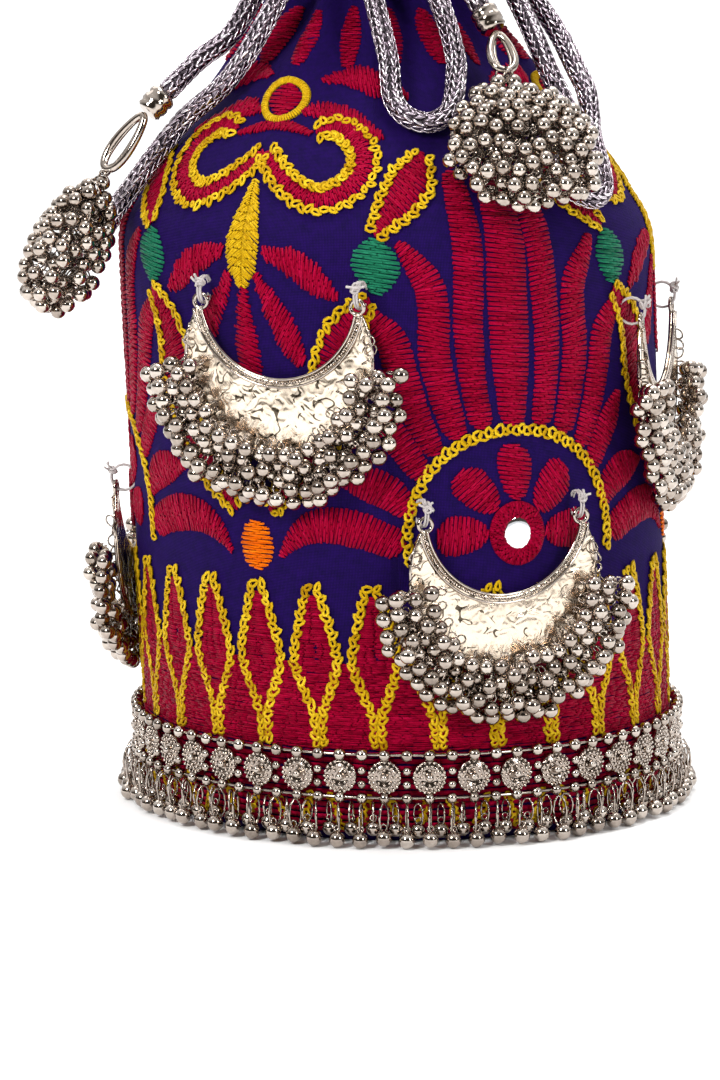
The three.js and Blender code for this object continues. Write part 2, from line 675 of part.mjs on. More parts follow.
// A round medallion with its back at the origin, domed to a boss at the front
function medallion() {
  const profile = [
    new THREE.Vector2(0, 0),
    new THREE.Vector2(MEDALLION_RADIUS, 0),
    new THREE.Vector2(MEDALLION_RADIUS, MEDALLION_THICKNESS),
    new THREE.Vector2(0, MEDALLION_THICKNESS + MEDALLION_BOSS),
  ];
  return new THREE.LatheGeometry(profile, MEDALLION_SIDES).rotateX(Math.PI);
}

// Medallions sit against the wall between two rails, and drops hang from the lower rail
function footTrim() {
  const medallionHeight = (TOP_RAIL_HEIGHT + LOW_RAIL_HEIGHT) / 2;
  const wallRadius = wallAt(TOP_RAIL_HEIGHT).radius + SEAT_GAP;
  const railRadius = wallRadius + RAIL_STAND_OFF;
  const pieces = [ringRail(railRadius, TOP_RAIL_HEIGHT), ringRail(railRadius, LOW_RAIL_HEIGHT)];
  for (let i = 0; i < MEDALLION_COUNT; i += 1) {
    const angle = ((i + 0.5) * 360) / MEDALLION_COUNT;
    pieces.push(standingRound(medallion(), angle, wallRadius, medallionHeight));
  }
  for (let i = 0; i < DROP_COUNT; i += 1) {
    const angle = ((i + 0.5) * 360) / DROP_COUNT;
    const drop = hangingBall(
      new THREE.Vector3(0, 0, LOW_RAIL_HEIGHT - DROP_RADIUS), new THREE.Vector3(0, 0, 0), DROP_RADIUS, 3);
    pieces.push(standingRound(drop, angle, railRadius, DROP_RADIUS));
  }
  return toGeometry(joined(pieces));
}

// Cords and tassels

function cordPath(name) {
  return new THREE.CatmullRomCurve3(CORD_ROUTES[name].map((point) => new THREE.Vector3(...point)));
}

function addCords() {
  for (const name of Object.keys(CORD_ROUTES)) {
    const path = cordPath(name);
    const steps = Math.max(3, Math.ceil(path.getLength() / CORD_STEP));
    addPiece(name, tubeAlong(path, CORD_DIAMETER / 2, CORD_SIDES, steps), SILVER_CORD);
  }
}

// A closed wire link, longer than wide, hanging down local -Z from the origin
function bailLink(length) {
  const rings = [];
  for (let i = 0; i < BAIL_STEPS; i += 1) {
    const turn = (i / BAIL_STEPS) * 2 * Math.PI;
    const middle = new THREE.Vector3(
      BAIL_HALF_WIDTH * Math.sin(turn), 0, -length / 2 + (length / 2) * Math.cos(turn));
    const outward = new THREE.Vector3(Math.sin(turn), 0, Math.cos(turn));
    const corner = (out, side) => middle.clone().addScaledVector(outward, out * BAIL_WIRE)
      .add(new THREE.Vector3(0, side * BAIL_WIRE, 0));
    rings.push([corner(-1, 0), corner(0, -1), corner(1, 0), corner(0, 1)]);
  }
  return skinned(rings, true);
}

// A bunch of balls on a core of wire rings, hanging down local -Z
function ballBunch(size) {
  const core = new THREE.SphereGeometry(1, 8, 5);
  const [halfWidth, halfDepth, halfLength] = [size.width / 2, size.depth / 2, size.length / 2];
  core.scale(halfWidth - BUNCH_CORE_INSET, halfDepth - BUNCH_CORE_INSET, halfLength - BUNCH_CORE_INSET);
  const solids = [toSolid(core)];
  const spin = Math.PI * (3 - Math.sqrt(5));
  for (let i = 0; i < BUNCH_BALLS; i += 1) {
    const up = 1 - (2 * i) / (BUNCH_BALLS - 1);
    const round = Math.sqrt(1 - up * up);
    const ball = new THREE.OctahedronGeometry(BUNCH_BALL_RADIUS);
    const place = new THREE.Vector3(
      round * Math.cos(i * spin) * (halfWidth - BUNCH_BALL_RADIUS),
      round * Math.sin(i * spin) * (halfDepth - BUNCH_BALL_RADIUS),
      up * (halfLength - BUNCH_BALL_RADIUS));
    solids.push(toSolid(ball.translate(place.x, place.y, place.z)));
  }
  return toGeometry(solids.reduce((whole, solid) => whole.add(solid)));
}

function addTassels() {
  for (const [side, size] of Object.entries(TASSELS)) {
    const path = cordPath(size.cord);
    const end = path.getPointAt(1);
    const along = path.getTangentAt(1);
    const crimpEnd = end.clone().addScaledVector(along, CRIMP_LENGTH + SEAT_GAP);
    const crimpStart = end.clone().addScaledVector(along, SEAT_GAP);
    const crimp = tubeAlong(new THREE.LineCurve3(crimpStart, crimpEnd), CRIMP_RADIUS, CRIMP_SIDES, 1);
    addPiece(`crimp_${side}`, crimp, SILVER_METAL);

    const tassel = new THREE.Group();
    tassel.name = `tassel_${side}`;
    const top = crimpEnd.clone().addScaledVector(along, SEAT_GAP + BAIL_WIRE);
    const heading = degToRad(size.heading);
    tassel.position.copy(top);
    tassel.rotation.set(-degToRad(size.swing), 0, heading, 'ZYX');
    bag.add(tassel);
    addPiece(`bail_${side}`, bailLink(size.bail), SILVER_METAL, tassel);
    const bunch = addPiece(`ball_bunch_${side}`, ballBunch(size), SILVER_METAL, tassel);
    const hang = degToRad(size.hang - size.swing);
    const below = new THREE.Vector3(0, 0, -(BAIL_WIRE + SEAT_GAP + size.length / 2));
    bunch.rotation.x = -hang;
    bunch.position.copy(below.applyAxisAngle(new THREE.Vector3(1, 0, 0), -hang)).z -= size.bail;
  }
}

addPiece('outer_shell', outerShell(), INDIGO_CLOTH);
addPiece('lining', liningCup(), LINING_CLOTH);
addPiece('base_disc', baseDisc(), INDIGO_CLOTH);
addEmbroidery();
addCrescents();
addPiece('foot_trim', footTrim(), SILVER_METAL);
addCords();
addTassels();

export default bag;
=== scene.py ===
import bpy
import json
import math
import numpy as np
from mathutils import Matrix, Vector


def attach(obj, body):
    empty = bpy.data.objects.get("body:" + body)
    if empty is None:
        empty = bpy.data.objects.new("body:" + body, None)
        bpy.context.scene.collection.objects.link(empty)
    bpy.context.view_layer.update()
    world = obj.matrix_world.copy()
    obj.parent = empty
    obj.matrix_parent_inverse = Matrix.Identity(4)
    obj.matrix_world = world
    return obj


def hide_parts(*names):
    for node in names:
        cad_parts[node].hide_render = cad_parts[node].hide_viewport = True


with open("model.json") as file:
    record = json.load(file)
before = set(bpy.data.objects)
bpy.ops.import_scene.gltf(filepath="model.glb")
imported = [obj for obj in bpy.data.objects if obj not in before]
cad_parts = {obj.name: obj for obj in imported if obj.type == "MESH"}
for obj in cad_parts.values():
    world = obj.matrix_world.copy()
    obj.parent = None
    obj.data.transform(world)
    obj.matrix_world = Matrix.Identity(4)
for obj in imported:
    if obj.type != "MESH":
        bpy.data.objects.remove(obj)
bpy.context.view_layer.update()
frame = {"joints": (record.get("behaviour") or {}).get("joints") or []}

# Everything below is worked out in millimetres and degrees. Meshes are made in metres.
METRE = 0.001
UP = np.array([0, 0, 1.0])
SEED = 7

# Wall of the bag, as in the part
BODY_RADIUS = 76.0
FOOT_RADIUS = 73.0
WALL_FOOT = 1.5
SHOULDER_HEIGHT = 150.0
NECK_HEIGHT = 233.0
NECK_RADIUS = 25.0
FRILL_HEIGHT = 28.0
FRILL_RADIUS = 41.0
CLOTH_THICKNESS = 1.1
LEAN_START = 25.0
LEAN_SLOPE = 0.0446
FOLD_COUNT = 12
FOLD_RISE = 38.0
NECK_FOLD_DEPTH = 3.0
FRILL_FOLD_DEPTH = 4.4
FOOT_BEND_INSET = 0.8
FOOT_BEND_HEIGHT = 12.0
STRAIGHT_SHARES = (0.4, 0.73)
SHOULDER_SHAPE = (
    (0, 0), (0.02, 0.18), (0.13, 0.31), (0.28, 0.45), (0.49, 0.6), (0.72, 0.77), (0.91, 0.91), (1, 1))
FRILL_SHAPE = ((0.03, 0.3), (0.4, 0.6), (1, 1))
FRILL_FULLNESS = 1.2
WRINKLE_START = 160.0
WRINKLE_DEPTH = 0.7
BASE_THICKNESS = 3.0
LINING_THICKNESS = 0.9
LINING_GAP = 0.65
LINING_ROW = 6.0

# Embroidery, as angles round the wall and levels up it
REPEAT_COUNT = 3
LOTUS_ANGLE = 30.0
OGEE_ANGLE = -30.0
ANGLE_DRIFT = 2.6
ANGLE_WAVE = 3.8
PITCH = 0.65
THREAD_RADIUS = 0.35
LONG_STITCH = 4.5
ROUND_SHARE = 0.4
CHAIN_PITCH = 1.75
CHAIN_LENGTH = 2.7
CHAIN_WIDTH = 1.45
CHAIN_THREAD = 0.5
CHAIN_SWAY = 0.75
CHAIN_STEP = 0.4
HEM_POINTS = 27
HEM_FOOT = 4.0
HEM_BOTTOM = 27.0
HEM_JOIN = 36.0
HEM_TOUCH = 50.5
HEM_PEAK = 72.5
HEM_PITCH = 0.6
HEM_STITCH = 7.0
LOTUS_LEVEL = 86.0
COLLAR_RADIUS = 8.8
MIRROR_RADIUS = 4.0
GREEN_LEVELS = (152.0, 167.0)
ORANGE_LEVELS = (75.5, 89.0)

# Pendants, trim, cords and tassels, as in the part
CRESCENT_PLACES = ((-98, 90), (-22, 149), (22, 90), (76, 141), (142, 90), (195, 150))
CRESCENT_STAND_OFF = 1.65
PLATE_THICKNESS = 0.9
PLATE_OUTER_RADIUS = 27.5
PLATE_OUTER_DROP = 14.4
PLATE_INNER_RADIUS = 23.0
PLATE_INNER_RISE = 2.7
HOLE_SPACING = 46.0
RIM_WIDTH = 2.3
FRINGE_BALL = 2.28
FRINGE_ROWS = ((-3.0, 5.6, 19), (0.6, 4.6, 22), (3.4, 2.6, 24), (6.6, 4.6, 26), (9.4, 2.2, 27))
FRINGE_DROP = 2.2
LOOP_RADIUS = 3.7
LOOP_TILT = 37.5
LOOP_OPENING = 20.0
KNOT_ANGLE = 150.0
MEDALLION_COUNT = 40
MEDALLION_RADIUS = 4.7
MEDALLION_GRANULES = ((4.3, 20, 0.54, 2.8), (3.2, 14, 0.52, 3.0), (2.1, 8, 0.5, 3.1))
TOP_RAIL_HEIGHT = 25.0
LOW_RAIL_HEIGHT = 13.8
RAIL_STAND_OFF = 2.5
SEAT_GAP = 0.35
DROP_COUNT = 80
DROP_RADIUS = 2.35
CORD_DIAMETER = 5.4
CORD_ROUTES = {
    "cord_left_drop": [(-37.2, -15, 241), (-49, -24, 219), (-58, -27, 212), (-67, -31, 203)],
    "cord_left_handle": [
        (-29, -28, 241), (-48.5, -32.5, 208), (-62, -25.4, 195.6), (-70.6, -24.4, 185.2),
        (-76.3, -23.3, 177.5),
        (-82.4, -16.2, 169.4), (-85.4, 0, 164.4), (-82.6, 16.2, 168.8), (-73.9, 25.7, 180.2),
        (-62.5, 30.5, 192.7),
        (-52.2, 32.1, 204.2), (-31, 26, 240)],
    "cord_front_slack": [
        (-12, -33, 241), (-8.2, -39.5, 226), (-5, -45.8, 212.5), (-4.5, -49.5, 207.2), (-3.6, -53.2, 202.3),
        (-0.3, -56.1, 198.3), (5.7, -56.6, 196.5), (10.6, -53.5, 198.3), (12.7, -49.2, 202.3),
        (13.3, -44.9, 207.1),
        (13.5, -41, 212.4), (9.8, -36, 226), (3.5, -31, 241)],
    "cord_right_drop": [
        (21.9, -2, 240.5), (20.3, -9.3, 239.8), (17.7, -16, 238.4), (15.6, -24.6, 236.6), (16.5, -31, 233),
        (20.5, -34.5, 226.5)],
    "cord_right_slack": [
        (24, 5, 241), (29.5, -3, 231), (35.5, -13.5, 218.5), (39.6, -21.3, 208.7), (44.3, -25.4, 199.2),
        (45.4, -31.9, 194.5), (43.3, -39.6, 190), (41.7, -46.4, 186.1), (43, -50.6, 181),
        (46.8, -50.7, 176.8),
        (51.5, -47.1, 175.1), (54, -42.6, 177.1), (53.8, -39.5, 181.3), (52.7, -34.6, 186),
        (51.5, -28.7, 190.9),
        (51.2, -22, 196.6), (50.2, -17.2, 203.3), (47.5, -13.4, 208.9), (42.5, -2.5, 219), (34, 8, 230.5),
        (21.5, 15, 241)],
}
BUNCH_CROWDING = 0.23
BAIL_TURN = 50.0
CRIMP_LENGTH = 7.0
TASSELS = {
    "left": {"cord": "cord_left_drop", "heading": -90, "swing": 36, "hang": 25,
             "bail": 18, "size": (22, 24, 44)},
    "right": {"cord": "cord_right_drop", "heading": 15, "swing": 43, "hang": 41,
              "bail": 13, "size": (46, 17, 46)},
}

# Camera, from the photograph: 720 by 1080 pixels, seen from 1.2 m and a little above
CAMERA_PLACE = (0.0, -1.2, 0.267)
CAMERA_TARGET = (0.0, 0.0, 0.0725)
CAMERA_LENS = 139.9
CAMERA_SENSOR = 36.0
CAMERA_SHIFT = -0.0435
FLOOR_SIZE = 50.0

rng = np.random.default_rng(SEED)


# Curves and the wall

def cubic_line(start, end, leave, arrive, steps):
    """Points from start towards end, leaving and arriving in given directions."""
    share = np.arange(steps)[:, None] / steps
    cubic = 2 * start - 2 * end + leave + arrive
    square = -3 * start + 3 * end - 2 * leave - arrive
    return cubic * share**3 + square * share**2 + leave * share + start


def catmull_rom(points, steps=24):
    """A smooth line through the points, as the part's splines have it."""
    given = np.array(points, float)
    pieces = []
    for i in range(len(given) - 1):
        before = given[max(i - 1, 0)]
        start, end = given[i], given[i + 1]
        after = given[min(i + 2, len(given) - 1)]
        pieces.append(cubic_line(start, end, (end - before) / 2, (after - start) / 2, steps))
    return np.vstack([*pieces, given[-1:]])


def lengths_along(points):
    return np.r_[0, np.cumsum(np.linalg.norm(np.diff(points, axis=0), axis=1))]


def points_of(*coordinates):
    """Coordinates, of shapes that fit each other, joined into points."""
    return np.stack(np.broadcast_arrays(*coordinates), axis=-1)


def at_lengths(at, line, lengths):
    """Points at lengths along a line whose own points lie at known lengths."""
    return np.stack([np.interp(lengths, at, row) for row in line.T], axis=-1)


def even_turns(count):
    return 2 * np.pi * np.arange(count) / count


def circle(count, first, second):
    """Points of a circle of radius 1 in the plane of two directions."""
    turns = even_turns(count)[:, None]
    return np.cos(turns) * first + np.sin(turns) * second


def smoothstep(value, low, high):
    share = np.clip((value - low) / (high - low), 0, 1)
    return share * share * (3 - 2 * share)


def mix(start, end, share):
    return start + (end - start) * share


straight_part = [(BODY_RADIUS, share * SHOULDER_HEIGHT) for share in STRAIGHT_SHARES]
shoulder_part = [(mix(BODY_RADIUS, NECK_RADIUS, draw), mix(SHOULDER_HEIGHT, NECK_HEIGHT, rise))
                 for draw, rise in SHOULDER_SHAPE]
frill_part = [(mix(NECK_RADIUS, FRILL_RADIUS, spread), NECK_HEIGHT + rise * FRILL_HEIGHT)
              for spread, rise in FRILL_SHAPE]
wall_outline = catmull_rom(
    [(FOOT_RADIUS, WALL_FOOT), (BODY_RADIUS - FOOT_BEND_INSET, FOOT_BEND_HEIGHT)]
    + straight_part + shoulder_part + frill_part, steps=60)
wall_levels = WALL_FOOT + lengths_along(wall_outline)
TOP_LEVEL = wall_levels[-1]
NECK_LEVEL = TOP_LEVEL - FRILL_FULLNESS * FRILL_HEIGHT
FOLD_LEVEL = SHOULDER_HEIGHT + FOLD_RISE


def wall_radius(level):
    return np.interp(level, wall_levels, wall_outline[:, 0])


def wall_height(level):
    return np.interp(level, wall_levels, wall_outline[:, 1])


def lean_at(height):
    return -LEAN_SLOPE * np.maximum(0, height - LEAN_START)


def wrinkle(angle, level):
    """Soft gathers that grow towards the neck."""
    turn = np.radians(angle)
    waves = np.sin(5 * turn + level / 9) + 0.7 * np.sin(11 * turn - level / 6 + 1)
    waves = waves + 0.5 * np.sin(17 * turn + 2)
    return WRINKLE_DEPTH * waves * smoothstep(level, WRINKLE_START, NECK_LEVEL)


def on_cloth(angle, level, lift=0.0):
    """Points on the cloth, lifted off it by a few tenths."""
    angle, level, lift = np.broadcast_arrays(angle, level, np.asarray(lift, float))
    turn = np.radians(angle)
    above, below = level + 0.5, level - 0.5
    rise = wall_height(above) - wall_height(below)
    spread = wall_radius(above) - wall_radius(below)
    size = np.hypot(rise, spread)
    toward_neck = smoothstep(level, FOLD_LEVEL, NECK_LEVEL)
    toward_top = smoothstep(level, NECK_LEVEL, TOP_LEVEL)
    depth = NECK_FOLD_DEPTH * toward_neck + (FRILL_FOLD_DEPTH - NECK_FOLD_DEPTH) * toward_top
    off = lift + wrinkle(angle, level)
    radius = wall_radius(level) + depth * np.cos(FOLD_COUNT * turn) + off * rise / size
    height = wall_height(level) - off * spread / size
    return points_of(radius * np.sin(turn) + lean_at(height), -radius * np.cos(turn), height)


DEGREES_PER_MM = 360 / (2 * math.pi * BODY_RADIUS)


def on_pattern(axis, across, level, lift=0.0):
    """Points of a motif: millimetres across from its axis on the straight wall, and a level."""
    angle = axis + np.asarray(across, float) * DEGREES_PER_MM
    turned = angle - ANGLE_DRIFT - ANGLE_WAVE * np.sin(np.radians(angle))
    return on_cloth(turned, level, lift)


def unit(vectors):
    return vectors / np.maximum(np.linalg.norm(vectors, axis=-1, keepdims=True), 1e-9)


# Meshes

class Pile:
    """Points and faces gathered for one piece, with a tone and a place on the cloth for each point."""

    def __init__(self):
        self.points = []
        self.quads = []
        self.triangles = []
        self.tones = []
        self.places = []
        self.count = 0

    def add(self, points, faces, tone=0.5, places=None):
        points = np.asarray(points, float).reshape(-1, 3)
        faces = [np.asarray(some, int) for some in faces]
        for some in faces:
            if len(some):
                (self.quads if some.shape[1] == 4 else self.triangles).append(some + self.count)
        self.points.append(points)
        self.tones.append(np.broadcast_to(np.asarray(tone, float), (len(points),)))
        self.places.append(np.zeros((len(points), 2)) if places is None else places)
        self.count += len(points)

    def cap(self, ring, flip=False, tone=0.5):
        """Closes a ring of points with a fan of triangles."""
        self.add(ring, [[(0, j, j + 1)[::-1 if flip else 1] for j in range(1, len(ring) - 1)]], tone)

    def build(self, name, material, stands_for=None, body="bag"):
        """Makes the piece, on its body, and hides the node that it stands for."""
        points = np.vstack(self.points) * METRE
        quads = np.vstack(self.quads) if self.quads else np.zeros((0, 4), int)
        triangles = np.vstack(self.triangles) if self.triangles else np.zeros((0, 3), int)
        corners = np.r_[quads.ravel(), triangles.ravel()]
        starts = np.r_[np.arange(len(quads)) * 4, len(quads) * 4 + np.arange(len(triangles)) * 3]
        mesh = bpy.data.meshes.new(name)
        mesh.vertices.add(len(points))
        mesh.vertices.foreach_set("co", points.ravel())
        mesh.loops.add(len(corners))
        mesh.loops.foreach_set("vertex_index", corners)
        mesh.polygons.add(len(starts))
        mesh.polygons.foreach_set("loop_start", starts)
        tone = mesh.attributes.new("tone", "FLOAT", "POINT")
        tone.data.foreach_set("value", np.concatenate(self.tones))
        layer = mesh.uv_layers.new(name="UVMap")
        layer.data.foreach_set("uv", np.vstack(self.places)[corners].ravel())
        mesh.update(calc_edges=True)
        mesh.validate()
        mesh.polygons.foreach_set("use_smooth", np.full(len(mesh.polygons), True))
        mesh.materials.append(material)
        piece = bpy.data.objects.new(name, mesh)
        bpy.context.scene.collection.objects.link(piece)
        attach(piece, body)
        if stands_for:
            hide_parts(stands_for)
        return piece


def repeated(faces, count, size):
    """The faces of one form, repeated for count copies of size points each."""
    faces = np.asarray(faces, int)
    if not len(faces):
        return faces.reshape(0, 3)
    return (faces[None] + (np.arange(count) * size)[:, None, None]).reshape(-1, faces.shape[1])


def tubes(pile, paths, radii, sides, normals, closed=False, tone=0.5):
    """Many tubes at once: paths is (tubes, points, 3), radii fits that, and normals point off the cloth."""
    paths = np.asarray(paths, float)
    count, steps, _ = paths.shape
    if closed:
        along = np.roll(paths, -1, axis=1) - np.roll(paths, 1, axis=1)
    else:
        along = np.gradient(paths, axis=1)
    along = unit(along)
    side = unit(np.cross(along, np.broadcast_to(normals, paths.shape)))
    up = np.cross(side, along)
    turns = 2 * np.pi * (np.arange(sides) + 0.25) / sides
    radii = np.broadcast_to(np.asarray(radii, float), (count, steps))[:, :, None, None]
    rings = paths[:, :, None] + radii * (
        np.cos(turns)[:, None] * side[:, :, None] + np.sin(turns)[:, None] * up[:, :, None])
    quads = []
    for i in range(steps if closed else steps - 1):
        for j in range(sides):
            a, b = i * sides + j, i * sides + (j + 1) % sides
            c, d = ((i + 1) % steps) * sides + (j + 1) % sides, ((i + 1) % steps) * sides + j
            quads.append((a, d, c, b))
    caps = []
    if not closed:
        last = (steps - 1) * sides
        for j in range(1, sides - 1):
            caps.append((0, j, j + 1))
            caps.append((last, last + j + 1, last + j))
    size = steps * sides
    tone = np.repeat(np.broadcast_to(np.asarray(tone, float), (count,)), size)
    pile.add(rings.reshape(-1, 3), [repeated(quads, count, size), repeated(caps, count, size)], tone)


def ball_form(segments, rings):
    """Points and faces of a round ball of radius 1."""
    points = [(0, 0, 1)]
    for i in range(1, rings):
        tilt = math.pi * i / rings
        for j in range(segments):
            turn = 2 * math.pi * j / segments
            wide = math.sin(tilt)
            points.append((wide * math.cos(turn), wide * math.sin(turn), math.cos(tilt)))
    points.append((0, 0, -1))
    last = len(points) - 1
    quads, triangles = [], []
    for j in range(segments):
        k = (j + 1) % segments
        triangles.append((0, 1 + j, 1 + k))
        triangles.append((last, last - segments + k, last - segments + j))
        for i in range(rings - 2):
            row = 1 + i * segments
            quads.append((row + j, row + segments + j, row + segments + k, row + k))
    return np.array(points), quads, triangles


def balls(pile, centres, radii, segments=14, rings=9, tone=0.5):
    points, quads, triangles = ball_form(segments, rings)
    centres = np.asarray(centres, float).reshape(-1, 3)
    radii = np.broadcast_to(np.asarray(radii, float), (len(centres),))
    placed = centres[:, None] + points[None] * radii[:, None, None]
    tone = np.repeat(np.broadcast_to(np.asarray(tone, float), (len(centres),)), len(points))
    faces = [repeated(quads, len(centres), len(points)), repeated(triangles, len(centres), len(points))]
    pile.add(placed.reshape(-1, 3), faces, tone)


def wire_rings(pile, centres, facing, radius, wire, steps=10, sides=4, tone=0.5, stretch=None):
    """Wire rings about centres, each facing a way; stretch is a way and how far they reach along it."""
    centres = np.asarray(centres, float).reshape(-1, 3)
    facing = unit(np.broadcast_to(np.asarray(facing, float), centres.shape))
    helper = np.where(np.abs(facing[:, 2:]) < 0.9, [[0, 0, 1.0]], [[1.0, 0, 0]])
    if stretch is not None:
        helper = np.broadcast_to(stretch[0], centres.shape)
    first = unit(np.cross(facing, helper))
    second = np.cross(first, facing)
    turns = even_turns(steps)
    long = radius * (stretch[1] if stretch is not None else 1)
    paths = centres[:, None] + (radius * np.cos(turns)[:, None] * first[:, None]
                                + long * np.sin(turns)[:, None] * second[:, None])
    tubes(pile, paths, wire, sides, facing[:, None], closed=True, tone=tone)


def lattice(pile, rows, closed_rows=False, closed_columns=False, tone=0.5, places=None):
    """A sheet of quads through rows of points."""
    rows = np.asarray(rows, float)
    high, wide = rows.shape[:2]
    i = np.arange(high if closed_rows else high - 1)[:, None]
    j = np.arange(wide if closed_columns else wide - 1)[None]
    a = i * wide + j
    b = i * wide + (j + 1) % wide
    c = ((i + 1) % high) * wide + (j + 1) % wide
    d = ((i + 1) % high) * wide + j
    faces = points_of(a, b, c, d).reshape(-1, 4)
    tone = np.broadcast_to(np.asarray(tone, float), (high, wide)).ravel() if np.ndim(tone) else tone
    pile.add(rows.reshape(-1, 3), [faces], tone, places)


def level_ring(radius, height, columns, shift=0.0):
    """A level ring of points about the bag's axis, from its front."""
    turns = even_turns(columns)
    return points_of(radius * np.sin(turns) + shift, -radius * np.cos(turns), height)


def turned_form(pile, centre, along, first, second, profile, columns, tone=0.5):
    """A turned form about a direction, through the profile's pairs of radius and distance."""
    ring = circle(columns, first, second)
    rows = [centre + along * distance + radius * ring for radius, distance in profile]
    lattice(pile, rows, closed_columns=True, tone=tone)
    return rows


# Materials

class Nodes:
    """A node tree being put together, with short calls for the nodes that recur."""

    def __init__(self, tree):
        self.tree = tree
        self.shader = tree.nodes.get("Principled BSDF")
        self.place = self.node("TexCoord")

    def node(self, kind, feeds=(), **settings):
        """A new node: its settings first, then what feeds its inputs."""
        made = self.tree.nodes.new("ShaderNode" + kind)
        for setting, value in settings.items():
            setattr(made, setting, value)
        self.feed(made, feeds)
        return made

    def feed(self, node, feeds):
        """Links each input that is given a socket, and sets each other one on the node itself."""
        for key, value in dict(feeds).items():
            if isinstance(value, bpy.types.NodeSocket):
                self.tree.links.new(value, node.inputs[key])
            else:
                node.inputs[key].default_value = value

    def maths(self, operation, *values):
        return self.node("Math", enumerate(values), operation=operation).outputs[0]

    def noise(self, scale, space="Object", dimensions="3D", **inputs):
        feeds = {"Scale": scale, "Vector": self.place.outputs[space], **inputs}
        return self.node("TexNoise", feeds, noise_dimensions=dimensions).outputs["Fac"]

    def span(self, value, low, high):
        return self.node("MapRange", {"Value": value, "To Min": low, "To Max": high}).outputs["Result"]

    def ramp(self, factor, stops):
        """Colours at places from 0 to 1 along a factor."""
        made = self.node("ValToRGB", {"Fac": factor})
        elements = made.color_ramp.elements
        while len(elements) < len(stops):
            elements.new(0.5)
        for element, (position, colour) in zip(elements, stops):
            element.position = position
            element.color = (*colour, 1)
        return made.outputs["Color"]

    def bump(self, height, strength, distance):
        made = self.node("Bump", {"Height": height, "Strength": strength, "Distance": distance * METRE})
        self.feed(self.shader, {"Normal": made.outputs["Normal"]})

    def tones(self, dark, middle, light):
        """Colour that follows the tone of each stitch or ball, stirred by fine noise; and that noise."""
        tone = self.node("Attribute", attribute_name="tone").outputs["Fac"]
        noise = self.noise(TONE_GRAIN, Detail=3)
        stirred = self.maths("MULTIPLY_ADD", noise, 0.5, self.maths("SUBTRACT", tone, 0.25))
        return self.ramp(stirred, ((0, dark), (0.5, middle), (1, light))), noise


def new_material(name):
    material = bpy.data.materials.new(name)
    material.use_nodes = True
    return material, Nodes(material.node_tree)


def thread_material(name, dark, middle, light, roughness=0.6):
    """Silky stranded thread: each stitch has its own tone, with fine fibres on it."""
    material, nodes = new_material(name)
    nodes.bump(nodes.noise(FIBRE_GRAIN, Detail=2), 0.5, FIBRE_DEPTH)
    nodes.feed(nodes.shader, {
        "Base Color": nodes.tones(dark, middle, light)[0], "Roughness": roughness,
        "Sheen Weight": 0.06, "Sheen Roughness": 0.4, "Sheen Tint": (*light, 1),
        "Specular IOR Level": 0.18, "Specular Tint": (*light, 1)})
    return material


def cloth_material(name, dark, light, sheen_tint):
    """Plain woven cloth: warp and weft in UVs that count millimetres, with slubs and a soft sheen."""
    material, nodes = new_material(name)
    feeds = {"Scale": math.pi / 10 / WEAVE_PITCH, "Distortion": 0.6, "Detail": 1,
             "Vector": nodes.place.outputs["UV"]}
    warp, weft = [nodes.node("TexWave", feeds, bands_direction=way).outputs["Fac"] for way in "XY"]
    weave = nodes.maths("MULTIPLY", warp, weft)
    slubs = nodes.noise(SLUB_GRAIN, "UV", Detail=6, Roughness=0.7)
    blend = nodes.maths("MULTIPLY_ADD", weave, 0.55, nodes.maths("MULTIPLY", slubs, 0.6))
    nodes.bump(weave, 0.6, WEAVE_DEPTH)
    nodes.feed(nodes.shader, {
        "Base Color": nodes.ramp(blend, ((0.2, dark), (0.85, light))), "Roughness": 0.82,
        "Sheen Weight": 0.06, "Sheen Roughness": 0.35, "Sheen Tint": (*sheen_tint, 1),
        "Specular IOR Level": 0.08})
    return material


def metal_material(name, dark, middle, light, roughness, hammered=False):
    """Bright plated metal with a little tarnish, and with dents and dark marks where it is hammered."""
    material, nodes = new_material(name)
    colour, noise = nodes.tones(dark, middle, light)
    if hammered:
        nodes.bump(nodes.noise(DENT_GRAIN, Detail=1, Distortion=1.2), 1.0, DENT_DEPTH)
        lines = nodes.maths("COMPARE", nodes.noise(0.9 * DENT_GRAIN, Detail=0), 0.5, MARK_WIDTH)
        short = nodes.maths("GREATER_THAN", nodes.noise(1.1 * DENT_GRAIN, dimensions="4D", W=3), 0.52)
        feeds = {0: nodes.maths("MULTIPLY", lines, short), 6: colour, 7: (*PATINA, 1)}
        colour = nodes.node("Mix", feeds, data_type="RGBA").outputs[2]
    else:
        nodes.bump(noise, 0.1, 0.05)
    nodes.feed(nodes.shader, {"Base Color": colour, "Metallic": 1,
                              "Roughness": nodes.span(noise, roughness * 0.7, roughness * 1.5)})
    return material


# Grain counts features in a metre, except on cloth, where it counts them in a millimetre
TONE_GRAIN = 900
FIBRE_GRAIN = 5200
FIBRE_DEPTH = 0.12
WEAVE_PITCH = 0.42
WEAVE_DEPTH = 0.12
SLUB_GRAIN = 0.35
DENT_GRAIN = 270
DENT_DEPTH = 0.3
MARK_WIDTH = 0.026
PATINA = (0.09, 0.07, 0.05)

